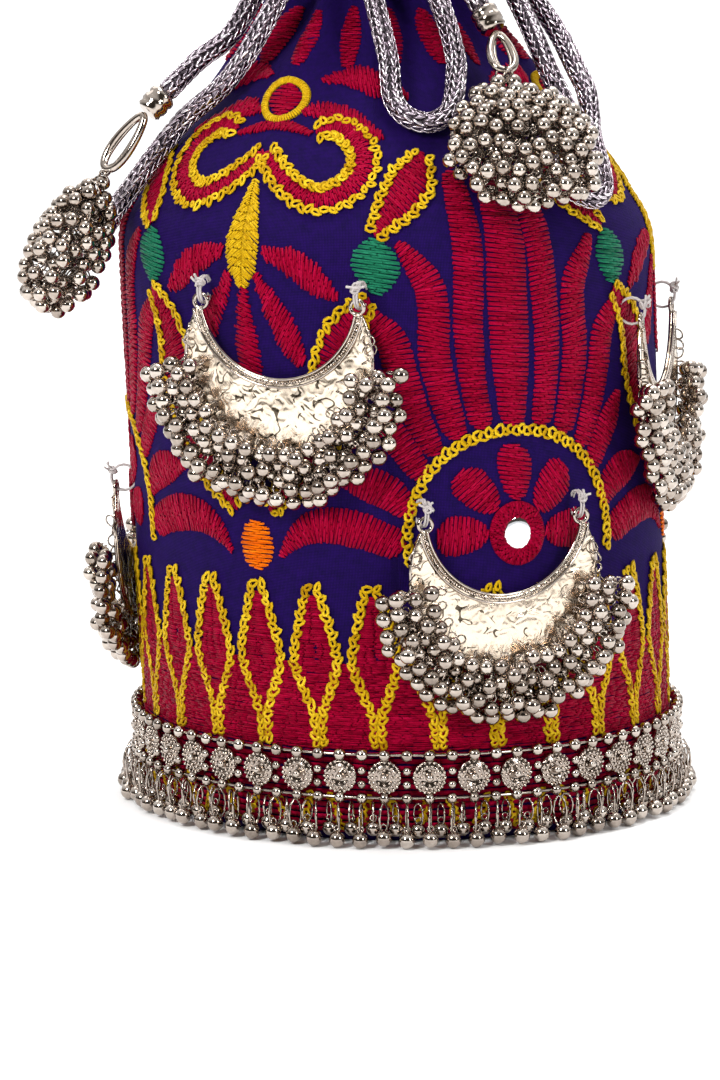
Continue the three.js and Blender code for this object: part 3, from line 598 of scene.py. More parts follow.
INDIGO = cloth_material("indigo_cloth", (0.002, 0.0002, 0.018), (0.016, 0.001, 0.1), (0.12, 0.01, 0.45))
LINING = cloth_material("lining_cloth", (0.03, 0.015, 0.08), (0.07, 0.04, 0.16), (0.3, 0.25, 0.5))
CRIMSON = thread_material(
    "crimson_thread", (0.075, 0.0003, 0.006), (0.24, 0.0012, 0.018), (0.42, 0.004, 0.045))
YELLOW = thread_material("yellow_thread", (0.3, 0.14, 0.002), (0.5, 0.3, 0.006), (0.68, 0.46, 0.02))
GREEN = thread_material("green_thread", (0.003, 0.045, 0.022), (0.01, 0.125, 0.065), (0.03, 0.25, 0.14))
ORANGE = thread_material("orange_thread", (0.44, 0.05, 0.001), (0.67, 0.115, 0.002), (0.82, 0.21, 0.006))
COTTON = thread_material("cotton_thread", (0.22, 0.19, 0.18), (0.42, 0.38, 0.37), (0.62, 0.58, 0.57), 0.8)
METAL = metal_material("silver_metal", (0.15, 0.118, 0.094), (0.4, 0.34, 0.295), (0.64, 0.58, 0.52), 0.09)
PLATE = metal_material(
    "hammered_metal", (0.42, 0.33, 0.25), (0.72, 0.6, 0.47), (0.85, 0.74, 0.61), 0.19, True)
YARN = metal_material("silver_yarn", (0.08, 0.065, 0.08), (0.44, 0.37, 0.42), (0.9, 0.84, 0.88), 0.22)
GLASS = metal_material("mirror_glass", (0.7, 0.72, 0.75), (0.85, 0.87, 0.9), (0.95, 0.96, 0.98), 0.03)


# Camera, floor and light

def add_camera():
    data = bpy.data.cameras.new("camera")
    data.sensor_fit = "VERTICAL"
    data.sensor_height = CAMERA_SENSOR
    data.lens = CAMERA_LENS
    data.shift_x = CAMERA_SHIFT
    data.clip_end = 60
    camera = bpy.data.objects.new("camera", data)
    bpy.context.scene.collection.objects.link(camera)
    camera.location = CAMERA_PLACE
    aim = Vector(CAMERA_TARGET) - Vector(CAMERA_PLACE)
    camera.rotation_euler = aim.to_track_quat("-Z", "Y").to_euler()
    bpy.context.scene.camera = camera


def add_light(name, place, size, power, target=(0, 0, 0.12)):
    data = bpy.data.lights.new(name, "AREA")
    data.shape = "RECTANGLE"
    data.size, data.size_y = size
    data.energy = power
    light = bpy.data.objects.new(name, data)
    bpy.context.scene.collection.objects.link(light)
    light.location = place
    light.rotation_euler = (Vector(target) - Vector(place)).to_track_quat("-Z", "Y").to_euler()


def add_studio():
    data = bpy.data.meshes.new("floor")
    half = FLOOR_SIZE / 2
    corners = [(-half, -half, 0), (half, -half, 0), (half, half, 0), (-half, half, 0)]
    data.from_pydata(corners, [], [(0, 1, 2, 3)])
    floor = bpy.data.objects.new("floor", data)
    bpy.context.scene.collection.objects.link(floor)
    material, nodes = new_material("floor_paper")
    paper = nodes.span(nodes.noise(300, "Generated"), 0.9, 0.93)
    nodes.feed(nodes.shader, {"Base Color": paper, "Roughness": 0.95})
    data.materials.append(material)
    add_sky()
    add_light("key", (-0.75, -1.1, 0.95), (0.35, 0.45), 19)
    add_light("fill", (0.95, -1.0, 0.6), (0.25, 0.5), 8)
    add_light("top", (0.1, 0.1, 1.5), (0.6, 0.6), 11)
    add_light("wash", (0, 5, 4.5), (9, 7), 330, (0, 5, 0))
    bpy.context.scene.view_settings.view_transform = "Standard"


def add_sky():
    """Studio surround: bright above and behind, dim towards the camera, so that metal has contrast."""
    world = bpy.data.worlds.new("studio")
    world.use_nodes = True
    nodes = Nodes(world.node_tree)
    way = nodes.node("SeparateXYZ", {0: nodes.place.outputs["Generated"]}).outputs
    back = nodes.maths("MULTIPLY_ADD", way["Y"], 0.5, way["Z"])
    colour = nodes.ramp(back, ((0.12, (0.07, 0.06, 0.05)), (0.62, (1, 1, 1))))
    nodes.feed(world.node_tree.nodes["Background"], {"Color": colour, "Strength": 0.95})
    bpy.context.scene.world = world


# Cords

class Route:
    """A cord's line with a frame that doesn't twist, sampled finely."""

    def __init__(self, points):
        line = centripetal(points, 40)
        self.at = lengths_along(line)
        self.length = self.at[-1]
        steps = int(self.length / 0.4)
        even = np.linspace(0, self.length, steps)
        self.line = at_lengths(self.at, line, even)
        self.at = even
        self.along = unit(np.gradient(self.line, axis=0))
        side = unit(np.cross(self.along[0], [0.3, 0.2, 1.0]))
        sides = []
        for direction in self.along:
            side = unit(side - np.dot(side, direction) * direction)
            sides.append(side)
        self.side = np.array(sides)
        self.up = np.cross(self.along, self.side)

    def place(self, distance, around, radius):
        distance, around, radius = np.broadcast_arrays(distance, around, radius)
        point, side, up = [at_lengths(self.at, rows, distance) for rows in (self.line, self.side, self.up)]
        off = np.cos(around)[..., None] * side + np.sin(around)[..., None] * up
        return point + radius[..., None] * off, off


def centripetal(points, steps):
    """A centripetal Catmull-Rom line, as the part's cords follow."""
    given = np.array(points, float)
    first = 2 * given[0] - given[1]
    last = 2 * given[-1] - given[-2]
    padded = np.vstack([first, given, last])
    pieces = []
    for i in range(1, len(padded) - 2):
        p0, p1, p2, p3 = padded[i - 1:i + 3]
        gaps = [math.sqrt(np.linalg.norm(b - a)) for a, b in ((p0, p1), (p1, p2), (p2, p3))]
        leave = ((p1 - p0) / gaps[0] - (p2 - p0) / (gaps[0] + gaps[1]) + (p2 - p1) / gaps[1]) * gaps[1]
        arrive = ((p2 - p1) / gaps[1] - (p3 - p1) / (gaps[1] + gaps[2]) + (p3 - p2) / gaps[2]) * gaps[1]
        pieces.append(cubic_line(p1, p2, leave, arrive, steps))
    return np.vstack([*pieces, given[-1:]])


WALES = 6
COURSE = 2.7
LOOP_LENGTH = 4.0


def knitted_cord(name):
    """A knitted tube: V-shaped loops of metallic yarn in six columns round a soft core."""
    route = Route(CORD_ROUTES[name])
    pile = Pile()
    radius = CORD_DIAMETER / 2
    rows = np.linspace(0, route.length, max(8, int(route.length / 1.6)))
    turns = even_turns(12)
    flute = 0.12 * np.cos(WALES * turns)
    core, _ = route.place(rows[:, None], turns[None], radius - 0.6 + flute[None])
    # The core and its caps take the darkest yarn tone (0.1): painted shade for the inside of the tube, seen
    # between the loops
    lattice(pile, core, closed_columns=True, tone=0.1)
    pile.cap(core[0], True, 0.1)
    pile.cap(core[-1], False, 0.1)
    courses = 2 + int((route.length - LOOP_LENGTH) / COURSE)
    start = np.linspace(0, route.length - LOOP_LENGTH, courses)[:, None, None]
    wale = (2 * np.pi / WALES) * np.arange(WALES)[None, :, None]
    share = np.array([0, 0.35, 0.7, 1.0])[None, None]
    slip = 0.12 * rng.standard_normal((courses, WALES, 1))
    for hand in (-1, 1):
        distance = start + slip + LOOP_LENGTH * share
        around = wale + hand * (0.08 + 0.46 * share) + 0.02 * start
        height = radius + np.array([-0.45, 0.0, 0.02, -0.4])[None, None] + 0.08 * slip
        paths, off = route.place(distance, around, height)
        paths = paths.reshape(-1, 4, 3)
        tone = np.clip(rng.normal(0.55, 0.2, len(paths)), 0, 1)
        tubes(pile, paths, 0.42, 3, off.reshape(-1, 4, 3), tone=tone)
    piece = pile.build(name + "_knit", YARN, name)
    return route, piece


# Tassels

def about_z(turn):
    return np.array([[math.cos(turn), -math.sin(turn), 0], [math.sin(turn), math.cos(turn), 0], [0, 0, 1]])


def about_x(turn):
    return np.array([[1, 0, 0], [0, math.cos(turn), -math.sin(turn)], [0, math.sin(turn), math.cos(turn)]])


def spread_apart(points, gap, keep, rounds=60):
    """Moves crowded ball centres apart, and then back to where keep allows them."""
    points = points.copy()
    for _ in range(rounds):
        apart = points[:, None] - points[None]
        distance = np.linalg.norm(apart, axis=-1) + np.eye(len(points)) * 99
        push = np.clip(gap - distance, 0, None)
        points += 0.35 * (apart / distance[..., None] * push[..., None]).sum(axis=1)
        points = keep(points)
    return points


def bunch_of_balls(size):
    """Ball centres crowded into a heart-shaped bunch that hangs down from its top."""
    wide, deep, high = size
    half = np.array([wide / 2, deep / 2, high / 2]) - 2.3
    count = int(round(BUNCH_CROWDING * (half[0] * half[1] + half[1] * half[2] + half[0] * half[2])))
    index = np.arange(count) + 0.5
    up = 1 - 2 * index / count
    turn = index * math.pi * (3 - math.sqrt(5))
    round_ = np.sqrt(1 - up**2)
    points = points_of(round_ * np.cos(turn), round_ * np.sin(turn), up) * half
    points += rng.normal(0, 1.7, points.shape)

    def keep(some):
        swell = 1 - 0.22 * some[:, 2:] / half[2]
        flat = some / half / np.concatenate([swell, swell, np.ones_like(swell)], axis=1)
        reach = np.linalg.norm(flat, axis=-1, keepdims=True)
        return some / np.maximum(reach, 1) * np.where(reach < 0.6, 0.6 / np.maximum(reach, 0.1), 1)

    return spread_apart(points, 4.3, keep, rounds=40)


def add_tassel(side, route):
    """Crimp on the cord, wire bail through its eye and a bunch of small balls on rings."""
    spec = TASSELS[side]
    end, along = route.line[-1], route.along[-1]
    across = unit(np.cross(along, UP))
    other = np.cross(along, across)
    crimp = Pile()
    profile = [(3.2, 0.0), (3.9, 0.6), (4.0, 1.6), (3.6, 2.4), (4.0, 3.2), (4.0, 4.6),
               (3.5, 5.4), (3.8, 6.2),
               (3.0, CRIMP_LENGTH)]
    rows = turned_form(crimp, end + along * SEAT_GAP, along, across, other, profile, 24)
    crimp.cap(rows[0])
    crimp.cap(rows[-1], True)
    bead = crimp.build("crimp_%s_bead" % side, METAL, "crimp_" + side)

    body = "tassel_" + side
    joint = next(some for some in frame["joints"] if some["name"] == body + "_swing")
    top = np.array(joint["pos_m"]) / METRE
    rotation = about_z(math.radians(spec["heading"])) @ about_x(-math.radians(spec["swing"]))
    bail = Pile()
    turns = even_turns(36)
    long = spec["bail"] / 2
    lean = math.radians(BAIL_TURN if side == "left" else 0)
    facing = np.array([math.cos(lean), math.sin(lean), 0])
    half_width = 3.2 * np.sin(turns) * (1 - 0.3 * np.cos(turns))
    link = half_width[:, None] * facing + points_of(0 * turns, 0 * turns, -long + long * np.cos(turns))
    flat = rotation @ np.array([-math.sin(lean), math.cos(lean), 0])
    tubes(bail, (top + link @ rotation.T)[None], 1.15, 10, flat, closed=True)
    band = link * np.array([0.62, 0.62, 0.97]) + np.array([0, 0, -0.3])
    tubes(bail, (top + band @ rotation.T)[None], 0.55, 6, flat, closed=True)
    bail_piece = bail.build("bail_%s_link" % side, METAL, "bail_" + side, body)

    bunch = Pile()
    tip = about_x(-math.radians(spec["hang"] - spec["swing"]))
    below = tip @ UP * -(1.2 + SEAT_GAP + spec["size"][2] / 2) - spec["bail"] * UP
    centres = bunch_of_balls(spec["size"]) @ tip.T + below
    centres = top + centres @ rotation.T
    middle = top + below @ rotation.T
    count = len(centres)
    balls(bunch, centres, rng.normal(2.2, 0.06, count), 11, 7, rng.uniform(0.25, 0.75, count))
    inward = unit(middle - centres + rng.normal(0, 6, centres.shape))
    facing = np.cross(inward, rng.normal(0, 1, centres.shape))
    wire_rings(bunch, centres + inward * 2.9, facing, 1.15, 0.27, 9, 3)
    bail_foot = top - spec["bail"] * UP @ rotation.T
    spine = np.linspace(bail_foot, 1.8 * middle - 0.8 * bail_foot, 34)
    spine += rng.normal(0, 0.9, spine.shape)
    wire_rings(bunch, spine, rng.normal(0, 1, spine.shape), 2.0, 0.42, 10, 3)
    bunch_piece = bunch.build("ball_bunch_%s_balls" % side, METAL, "ball_bunch_" + side, body)
    return [bead, bail_piece, bunch_piece]


# Cloth

def even_levels(start, between, end, first_count, last_count):
    """Levels from start to end, even on each side of the one between."""
    first, last = np.linspace(start, between, first_count), np.linspace(between, end, last_count)
    return np.r_[first, last[1:]] if first_count > last_count else np.r_[first[:-1], last]


def add_cloth():
    """The outer cloth with its gathers: outside, hem of the mouth and inside in one closed sheet."""
    columns = 240
    angles = 360 * np.arange(columns) / columns
    outside = even_levels(WALL_FOOT, SHOULDER_HEIGHT, TOP_LEVEL, 18, 60)
    inside = even_levels(TOP_LEVEL, SHOULDER_HEIGHT, WALL_FOOT, 24, 6)
    rows = np.vstack([on_cloth(angles[None], outside[:, None]),
                      on_cloth(angles[None], inside[:, None], -CLOTH_THICKNESS)])
    levels = np.r_[outside, inside]
    places = points_of(angles / DEGREES_PER_MM, levels[:, None]).reshape(-1, 2)
    cloth = Pile()
    lattice(cloth, rows, closed_rows=True, closed_columns=True, places=places)
    cloth.build("outer_cloth", INDIGO, "outer_shell")


def add_lining():
    """The smooth inner bag, with small creases where it meets the drawstring channel."""
    columns = 96
    turns = even_turns(columns)
    levels = np.linspace(WALL_FOOT + 6, NECK_LEVEL - 14, 30)
    floor = BASE_THICKNESS + SEAT_GAP
    outline = [(0.01, floor), (40, floor), (FOOT_RADIUS - 3.4, floor)]
    for level in levels:
        depth = NECK_FOLD_DEPTH * smoothstep(level, FOLD_LEVEL, NECK_LEVEL)
        gathers = WRINKLE_DEPTH * 2.2 * smoothstep(level, WRINKLE_START, NECK_LEVEL)
        slack = CLOTH_THICKNESS + depth + LINING_GAP + gathers
        outline.append((float(wall_radius(level)) - slack, float(wall_height(level))))
    inside = [(radius - LINING_THICKNESS, height) for radius, height in outline[:2:-1]]
    inside += [(FOOT_RADIUS - 5, floor + LINING_THICKNESS), (0.01, floor + LINING_THICKNESS)]
    rows = []
    for radius, height in outline + inside:
        crease = 0.25 * np.sin(14 * turns + height / 7) * smoothstep(height, 60, 200)
        rows.append(level_ring(radius - abs(crease), height, columns, lean_at(height)))
    places = points_of(turns * BODY_RADIUS, LINING_ROW * np.arange(len(rows))[:, None]).reshape(-1, 2)
    lining = Pile()
    lattice(lining, rows, closed_columns=True, places=places)
    lining.build("inner_lining", LINING, "lining")


def add_base():
    """The cloth-covered board that the bag stands on, with rounded edges."""
    radius = FOOT_RADIUS - CLOTH_THICKNESS - SEAT_GAP
    outline = [(0.01, 0), (radius * 0.5, 0), (radius - 0.8, 0), (radius - 0.2, 0.25), (radius, 0.9),
               (radius, BASE_THICKNESS - 0.9), (radius - 0.2, BASE_THICKNESS - 0.25),
                (radius - 0.8, BASE_THICKNESS),
               (radius * 0.5, BASE_THICKNESS), (0.01, BASE_THICKNESS)]
    rows = [level_ring(r, h, 96) for r, h in outline]
    places = np.vstack(rows)[:, :2]
    board = Pile()
    lattice(board, rows, closed_columns=True, places=places)
    board.build("base_board", INDIGO, "base_disc")


# Embroidery stitches

def narrowing(level):
    """How much narrower the wall is at a level than at the straight wall."""
    return wall_radius(level) / BODY_RADIUS


def walk(points, pitch):
    """Even steps along a motif line: places, directions, normals and shares, in true millimetres."""
    line = catmull_rom(points, 16)
    scale = narrowing(line[:, 1])
    steps = np.diff(line, axis=0) * points_of((scale[1:] + scale[:-1]) / 2, np.ones(len(scale) - 1))
    at = np.r_[0, np.cumsum(np.linalg.norm(steps, axis=1))]
    count = max(3, int(round(at[-1] / pitch)))
    even = (np.arange(count) + 0.5) / count * at[-1]
    places = at_lengths(at, line, even)
    scales = points_of(narrowing(places[:, 1]), np.ones(count))
    direction = unit(np.gradient(places, axis=0) * scales)
    normal = points_of(-direction[:, 1], direction[:, 0])
    return places, direction, normal, even / at[-1], scales


def lay_threads(pile, axis, spots, heights, radius, tones, closed=False):
    """Threads through places of a motif, at heights above the cloth."""
    paths, above = [on_pattern(axis, spots[..., 0], spots[..., 1], heights + lift) for lift in (0, 1)]
    tubes(pile, paths, radius, 3, above - paths, closed=closed, tone=tones)


def stitches(pile, axis, starts, ends, tone=0.5, radius=THREAD_RADIUS, lift=0.5):
    """Stitches from starts to ends: each rises from the cloth, dips where it is caught, and comes back."""
    starts, ends = np.asarray(starts, float), np.asarray(ends, float)
    count = len(starts)
    size = np.linalg.norm((ends - starts), axis=1)
    long = size > LONG_STITCH
    catch = 0.2 + 0.6 * ((np.arange(count) * 0.29 + rng.uniform(-0.06, 0.06, count)) % 1)
    around = np.minimum(0.45 / np.maximum(size, 1), 0.09)
    tones = np.clip(tone + rng.normal(0, 0.1, count), 0, 1)
    short_shares = np.tile([0.0, 0.12, 0.5, 0.88, 1.0], (count, 1))
    long_shares = points_of(0 * catch, catch - around, catch, catch + around, 1 + 0 * catch)
    shares = np.where(long[:, None], long_shares, short_shares)
    heights = np.where(long[:, None], [0.4, 0.95, 0.0, 0.95, 0.4], [0.0, 0.8, 1.0, 0.8, 0.0])
    up = heights * lift + rng.normal(0, 0.05, (count, 1))
    spots = starts[:, None] + (ends - starts)[:, None] * shares[..., None]
    lay_threads(pile, axis, spots, up, radius, tones)


def satin(pile, axis, spine, widths, slant=0.0, pitch=PITCH, ragged=0.5, tone=0.5, hand=1):
    """Stitches laid to and fro across a shape that follows a spine, in pairs that meet at its edges."""
    spine = np.asarray(spine, float) * (hand, 1)
    places, direction, normal, share, scales = walk(spine, pitch)
    count = len(places)
    given = catmull_rom(points_of(np.linspace(0, 1, len(widths)), widths), 12)
    width = np.maximum(np.interp(share, given[:, 0], given[:, 1]), 0.6)
    from_end = np.minimum(share, 1 - share) * count * pitch
    tip = np.clip(from_end / (ROUND_SHARE * np.maximum(width, 1)), 0, 1)
    width = width * np.sqrt(np.clip(1 - (1 - tip) ** 2, 0.06, 1))
    across = unit(normal + hand * slant * direction)
    pair = np.where(np.arange(count) % 2 == 0, 0.3, -0.3)[:, None] * direction * pitch
    reach = width[:, None] / 2 + ragged * rng.uniform(-0.5, 0.5, (count, 2))
    left = places + (across * reach[:, :1] + pair) / scales
    right = places - (across * reach[:, 1:] + pair) / scales
    stitches(pile, axis, left, right, tone)


def chain(pile, axis, line, offset=0.0, hand=1, width=CHAIN_WIDTH):
    """Chain stitch along a line: open egg-shaped loops, each rising out of the one before."""
    line = np.asarray(line, float) * (hand, 1)
    places, direction, normal, share, scales = walk(line, CHAIN_PITCH)
    count = len(places)
    if np.ndim(offset):
        offset = np.interp(share, np.linspace(0, 1, len(offset)), offset)
    places = places + normal * (hand * np.broadcast_to(offset, (count,)))[:, None] / scales
    hands = np.where(np.arange(count) % 2 == 0, -1, 1)
    twist = CHAIN_SWAY * hands + rng.normal(0, 0.3, count)
    places = places + normal * (CHAIN_STEP * hands)[:, None] / scales
    ahead = direction * np.cos(twist)[:, None] + normal * np.sin(twist)[:, None]
    aside = normal * np.cos(twist)[:, None] - direction * np.sin(twist)[:, None]
    turn = even_turns(7)
    long = CHAIN_LENGTH / 2 * np.cos(turn)
    wide = width / 2 * np.sin(turn) * (1 - 0.4 * np.cos(turn))
    off = (long[None, :, None] * ahead[:, None] + wide[None, :, None] * aside[:, None]) / scales[:, None]
    off *= rng.normal(1, 0.12, (count, 1, 1))
    spots = places[:, None] + off
    heights = np.tile(0.55 - 0.25 * np.cos(turn), (count, 1)) + rng.normal(0, 0.06, (count, 1))
    tones = np.clip(rng.normal(0.55, 0.18, count), 0, 1)
    lay_threads(pile, axis, spots, heights, CHAIN_THREAD, tones, True)


def outlined(inside, outline, axis, line, widths, margin, hand, sides=(1, -1), **how):
    """A satin shape with a chain along both of its sides."""
    satin(inside, axis, line, widths, hand=hand, **how)
    for side in sides:
        chain(outline, axis, line, side * (np.array(widths) / 2 + margin), hand)


# Motifs. Points are millimetres across from the motif's axis, and levels.

FAN_PETALS = (
    (((9.5, 115), (11.8, 128), (12.6, 142), (11.9, 156), (11.6, 170), (12, 187)), (7, 8, 8.9, 9, 8.6, 6)),
    (((17, 112.5), (20.6, 124), (23, 136), (22.6, 146), (24, 155), (32, 166)),
     (6.8, 8.6, 9.3, 9.2, 8.2, 3)),
    (((23.6, 108.3), (28.9, 119), (32.6, 130), (35.4, 140), (43, 148)), (6, 8, 9.2, 9, 3.4)),
    (((27.6, 102), (31.5, 108), (36, 114), (42, 122)), (6.2, 8, 7.8, 3)),
    (((31.5, 92), (37, 97.5), (44, 100.5), (53, 101.5)), (6, 9.6, 9, 1.5)),
    (((34.5, 82.8), (42, 86.2), (50, 88.4), (59, 88.6), (66, 85.4), (71.3, 79.5)),
     (8.5, 9.6, 10.4, 9.4, 6.5, 1)),
)
CENTRE_PETAL = (((0, 115.5), (0, 136), (0, 156), (0.8, 172), (1.4, 190)), (7.6, 11.8, 12.6, 11.6, 7))
ARCH_LINE = ((-33, 78.5), (-32.6, 90), (-27.6, 101.5), (-19.8, 109), (-11, 113), (0, 114.5),
             (11, 113), (19.8, 109), (27.6, 101.5), (32.6, 90), (33, 78.5))
SCROLL_LINE = ((0.5, 192.6), (11.7, 182.8), (22.8, 178.2), (32.3, 181.4), (37.4, 187.7),
               (36.4, 195.4), (28, 201),
               (18.5, 199.5))
SCROLL_WIDTHS = (3.4, 4.2, 4.8, 5.6, 6, 5.6, 5, 2.4)
LEAF_LINE = ((0, 153.6), (0, 161), (0, 169), (-0.3, 177), (-0.5, 184))
LEAF_WIDTHS = (2.5, 9, 11, 7, 2.2)
PALMETTE_PETALS = (
    (((4.2, 156.5), (8.6, 149), (13, 142), (18.5, 133)), (2.5, 6.4, 8.4, 4)),
    (((6.6, 162.6), (14, 160.6), (21.5, 157), (29.5, 150.8)), (2.6, 8, 8.2, 2.5)),
)
PALMETTE_CENTRE = (((0, 153), (0.3, 146), (0.8, 138), (1.2, 129)), (1.5, 5.6, 8, 8))
OGEE_BAND = ((38.8, 150.5), (33, 144.5), (29, 137), (27, 126), (22, 113), (14, 101.5), (5.5, 92))
OGEE_BAND_WIDTHS = (2, 8.5, 12, 11, 9, 6.5, 2)
UPPER_LEAF = ((1, 168), (6.5, 175), (13, 183), (19, 193))
UPPER_LEAF_WIDTHS = (1.5, 8.4, 10.5, 2)
SHOULDER_LEAVES = (
    (((9, 206.5), (19, 206.5), (31, 203.5), (45, 198.5)), (2, 8, 9, 2)),
    (((15, 217.5), (27, 219), (41, 217), (58, 213)), (2, 8, 9, 2)),
)
FLOWER_LEVEL = 210.5
NECK_PETAL_FOOT = 222.5
NECK_PETAL_SPACING = 26.5
FLOWER_RADIUS = 5.6


def add_neck_petals(pile, axis):
    """Long petals that go up into the gathers of the neck."""
    for across in (-NECK_PETAL_SPACING, 0, NECK_PETAL_SPACING):
        spine = [(across, level) for level in (NECK_PETAL_FOOT, NECK_PETAL_FOOT + 9, NECK_PETAL_FOOT + 20)]
        satin(pile, axis, spine, (4, 7, 3))


def add_hem():
    """Lens shapes round the foot: crimson rows inside and below them, yellow chain along their outlines."""
    field = Pile()
    pitch = 360 / HEM_POINTS / DEGREES_PER_MM
    around = 360 / DEGREES_PER_MM

    def half_width(level):
        below = np.clip((HEM_TOUCH - level) / (HEM_TOUCH - HEM_JOIN), 0, 1)
        above = np.clip((level - HEM_TOUCH) / (HEM_PEAK - HEM_TOUCH), 0, 1)
        share = np.where(level < HEM_TOUCH, below ** 1.1, above ** 1.35)
        return 1.15 + (pitch / 2 - 3.1) * (1 - share)

    def lay_row(left, right, level, radius=THREAD_RADIUS):
        height = level + rng.normal(0, 0.1, (len(left), 2))
        starts, ends = [points_of(side, height[:, k]) for k, side in enumerate((left, right))]
        stitches(field, OGEE_ANGLE, starts, ends, 0.45, radius)

    per_row = int(round(around / HEM_STITCH))
    under_trim = np.arange(HEM_FOOT, HEM_BOTTOM, 3 * HEM_PITCH)
    for level in np.r_[under_trim, np.arange(HEM_BOTTOM, HEM_TOUCH, HEM_PITCH)]:
        left = np.arange(per_row) * around / per_row + rng.uniform(0, HEM_STITCH)
        left += rng.normal(0, 0.7, per_row)
        right = np.roll(left, -1)
        right[-1] += around
        lay_row(left, right, level, THREAD_RADIUS if level >= HEM_BOTTOM else 2.2 * THREAD_RADIUS)
    centre = np.arange(HEM_POINTS) * pitch
    for level in np.arange(HEM_TOUCH, HEM_PEAK - 3, HEM_PITCH):
        half = float(half_width(level)) - 0.7
        parts = max(1, int(round(2 * half / HEM_STITCH)))
        for k in range(parts):
            ends = [centre - half + 2 * half * (k + end) / parts + rng.normal(0, 0.4, HEM_POINTS)
                    for end in (0, 1)]
            lay_row(*ends, level)
    field.build("hem_stitches", CRIMSON, "hem_field")

    outline = Pile()
    levels = np.linspace(HEM_BOTTOM + 0.5, HEM_PEAK, 14)
    for k in range(HEM_POINTS):
        for hand in (-1, 1):
            line = points_of(k * pitch + hand * half_width(levels), levels)
            chain(outline, OGEE_ANGLE, line)
            chain(outline, OGEE_ANGLE, [(k * pitch + hand * 3, 14), (k * pitch + hand * 6.5, HEM_FOOT)])
    outline.build("hem_chains", YELLOW, "hem_line")


# The mirror from its middle over the rounded edge, as radius and lift
GLASS_OUTLINE = ((0.02, 0.75), (2.0, 0.75), (3.8, 0.72), (4.4, 0.6), (4.6, 0.3), (4.6, 0.1), (0.02, 0.1))


def add_lotus(number, axis):
    """Fan of long petals over an arch, with five short petals round a small mirror."""
    petals = Pile()
    satin(petals, axis, *CENTRE_PETAL, slant=0.08)
    for spine, widths in FAN_PETALS:
        for hand in (-1, 1):
            satin(petals, axis, spine, widths, slant=-0.12, hand=hand)
    for lean in (-90, -45, 0, 45, 90):
        direction = np.array([math.sin(math.radians(lean)), math.cos(math.radians(lean))])
        reaches = (COLLAR_RADIUS + 0.4, 14, 19, 24.5)
        spine = [np.array([0, LOTUS_LEVEL]) + direction * reach for reach in reaches]
        satin(petals, axis, spine, (5, 9.4, 11, 10), slant=0.15, tone=0.55)
    turn = even_turns(84)
    rays = points_of(np.sin(turn), np.cos(turn))
    middle = np.array([0, LOTUS_LEVEL])
    inner, outer = middle + rays * (MIRROR_RADIUS + 0.1), middle + rays * COLLAR_RADIUS
    stitches(petals, axis, inner, outer, 0.5, 0.36, 1.1)
    add_neck_petals(petals, axis)
    petals.build("lotus_%d_petals" % number, CRIMSON, "lotus_fan_%d" % number)
    arch = Pile()
    chain(arch, axis, ARCH_LINE, width=2.1)
    arch.build("lotus_%d_chain" % number, YELLOW, "lotus_arch_%d" % number)

    glass = Pile()
    rows = []
    for radius, lift in GLASS_OUTLINE:
        rim = middle + radius * points_of(np.sin(turn[::2]), np.cos(turn[::2]) * 1.08)
        rows.append(on_pattern(axis, rim[:, 0], rim[:, 1], lift))
    lattice(glass, rows, closed_columns=True)
    glass.build("mirror_%d_glass" % number, GLASS, "mirror_%d" % number)


def add_ogee(number, axis):
    """Double scroll, feather leaf with a palmette under it, ogee bands, and shoulder flowers."""
    crimson, yellow, orange = Pile(), Pile(), Pile()
    for hand in (-1, 1):
        outlined(crimson, yellow, axis, SCROLL_LINE, SCROLL_WIDTHS, 0.95, hand, tone=0.58)
        outlined(crimson, yellow, axis, OGEE_BAND, OGEE_BAND_WIDTHS, 0.8, hand, slant=0.25)
        for spine, widths in PALMETTE_PETALS + SHOULDER_LEAVES:
            satin(crimson, axis, spine, widths, slant=-0.5, ragged=1.5, hand=hand, tone=0.55)
    satin(crimson, axis, *PALMETTE_CENTRE, slant=0.35, ragged=1.5)
    add_neck_petals(crimson, axis)
    satin(crimson, axis, ((-17, 198.6), (-8, 201), (0, 202), (8, 201), (17, 198.6)),
          (1.5, 3.6, 4.2, 3.6, 1.5), 0.6)

    places, direction, normal, share, scales = walk(LEAF_LINE, 0.72)
    width = np.interp(share, np.linspace(0, 1, len(LEAF_WIDTHS)), LEAF_WIDTHS)
    width += rng.uniform(-0.7, 0.7, len(share))
    for hand in (-1, 1):
        ends = places + (normal * hand * width[:, None] / 2 - direction * (0.4 * width)[:, None]) / scales
        stitches(yellow, axis, places, ends + rng.normal(0, 0.2, ends.shape), 0.5, 0.38, 0.7)
    turn = even_turns(64)
    rays = points_of(np.sin(turn) / narrowing(FLOWER_LEVEL), np.cos(turn))
    middle = np.array([0, FLOWER_LEVEL])
    inner, outer = middle + rays * FLOWER_RADIUS, middle + rays * (FLOWER_RADIUS + 2.2)
    stitches(yellow, axis, inner, outer, 0.5, 0.36, 0.8)
    flower_levels = FLOWER_LEVEL + FLOWER_RADIUS * np.array([-1, 0, 1])
    satin(crimson, axis, [(0, level) for level in flower_levels],
          (3, 2 * FLOWER_RADIUS, 3), tone=0.6)
    satin(orange, axis, ((0.5, ORANGE_LEVELS[0]), (0.6, 82), (0.6, ORANGE_LEVELS[1])),
          (7.4, 10.4, 7.6), ragged=0.9)
    crimson.build("ogee_%d_crimson" % number, CRIMSON, "ogee_scroll_%d" % number)
    yellow.build("ogee_%d_yellow" % number, YELLOW, "ogee_leaf_%d" % number)
    orange.build("orange_%d_stitches" % number, ORANGE, "orange_spot_%d" % number)


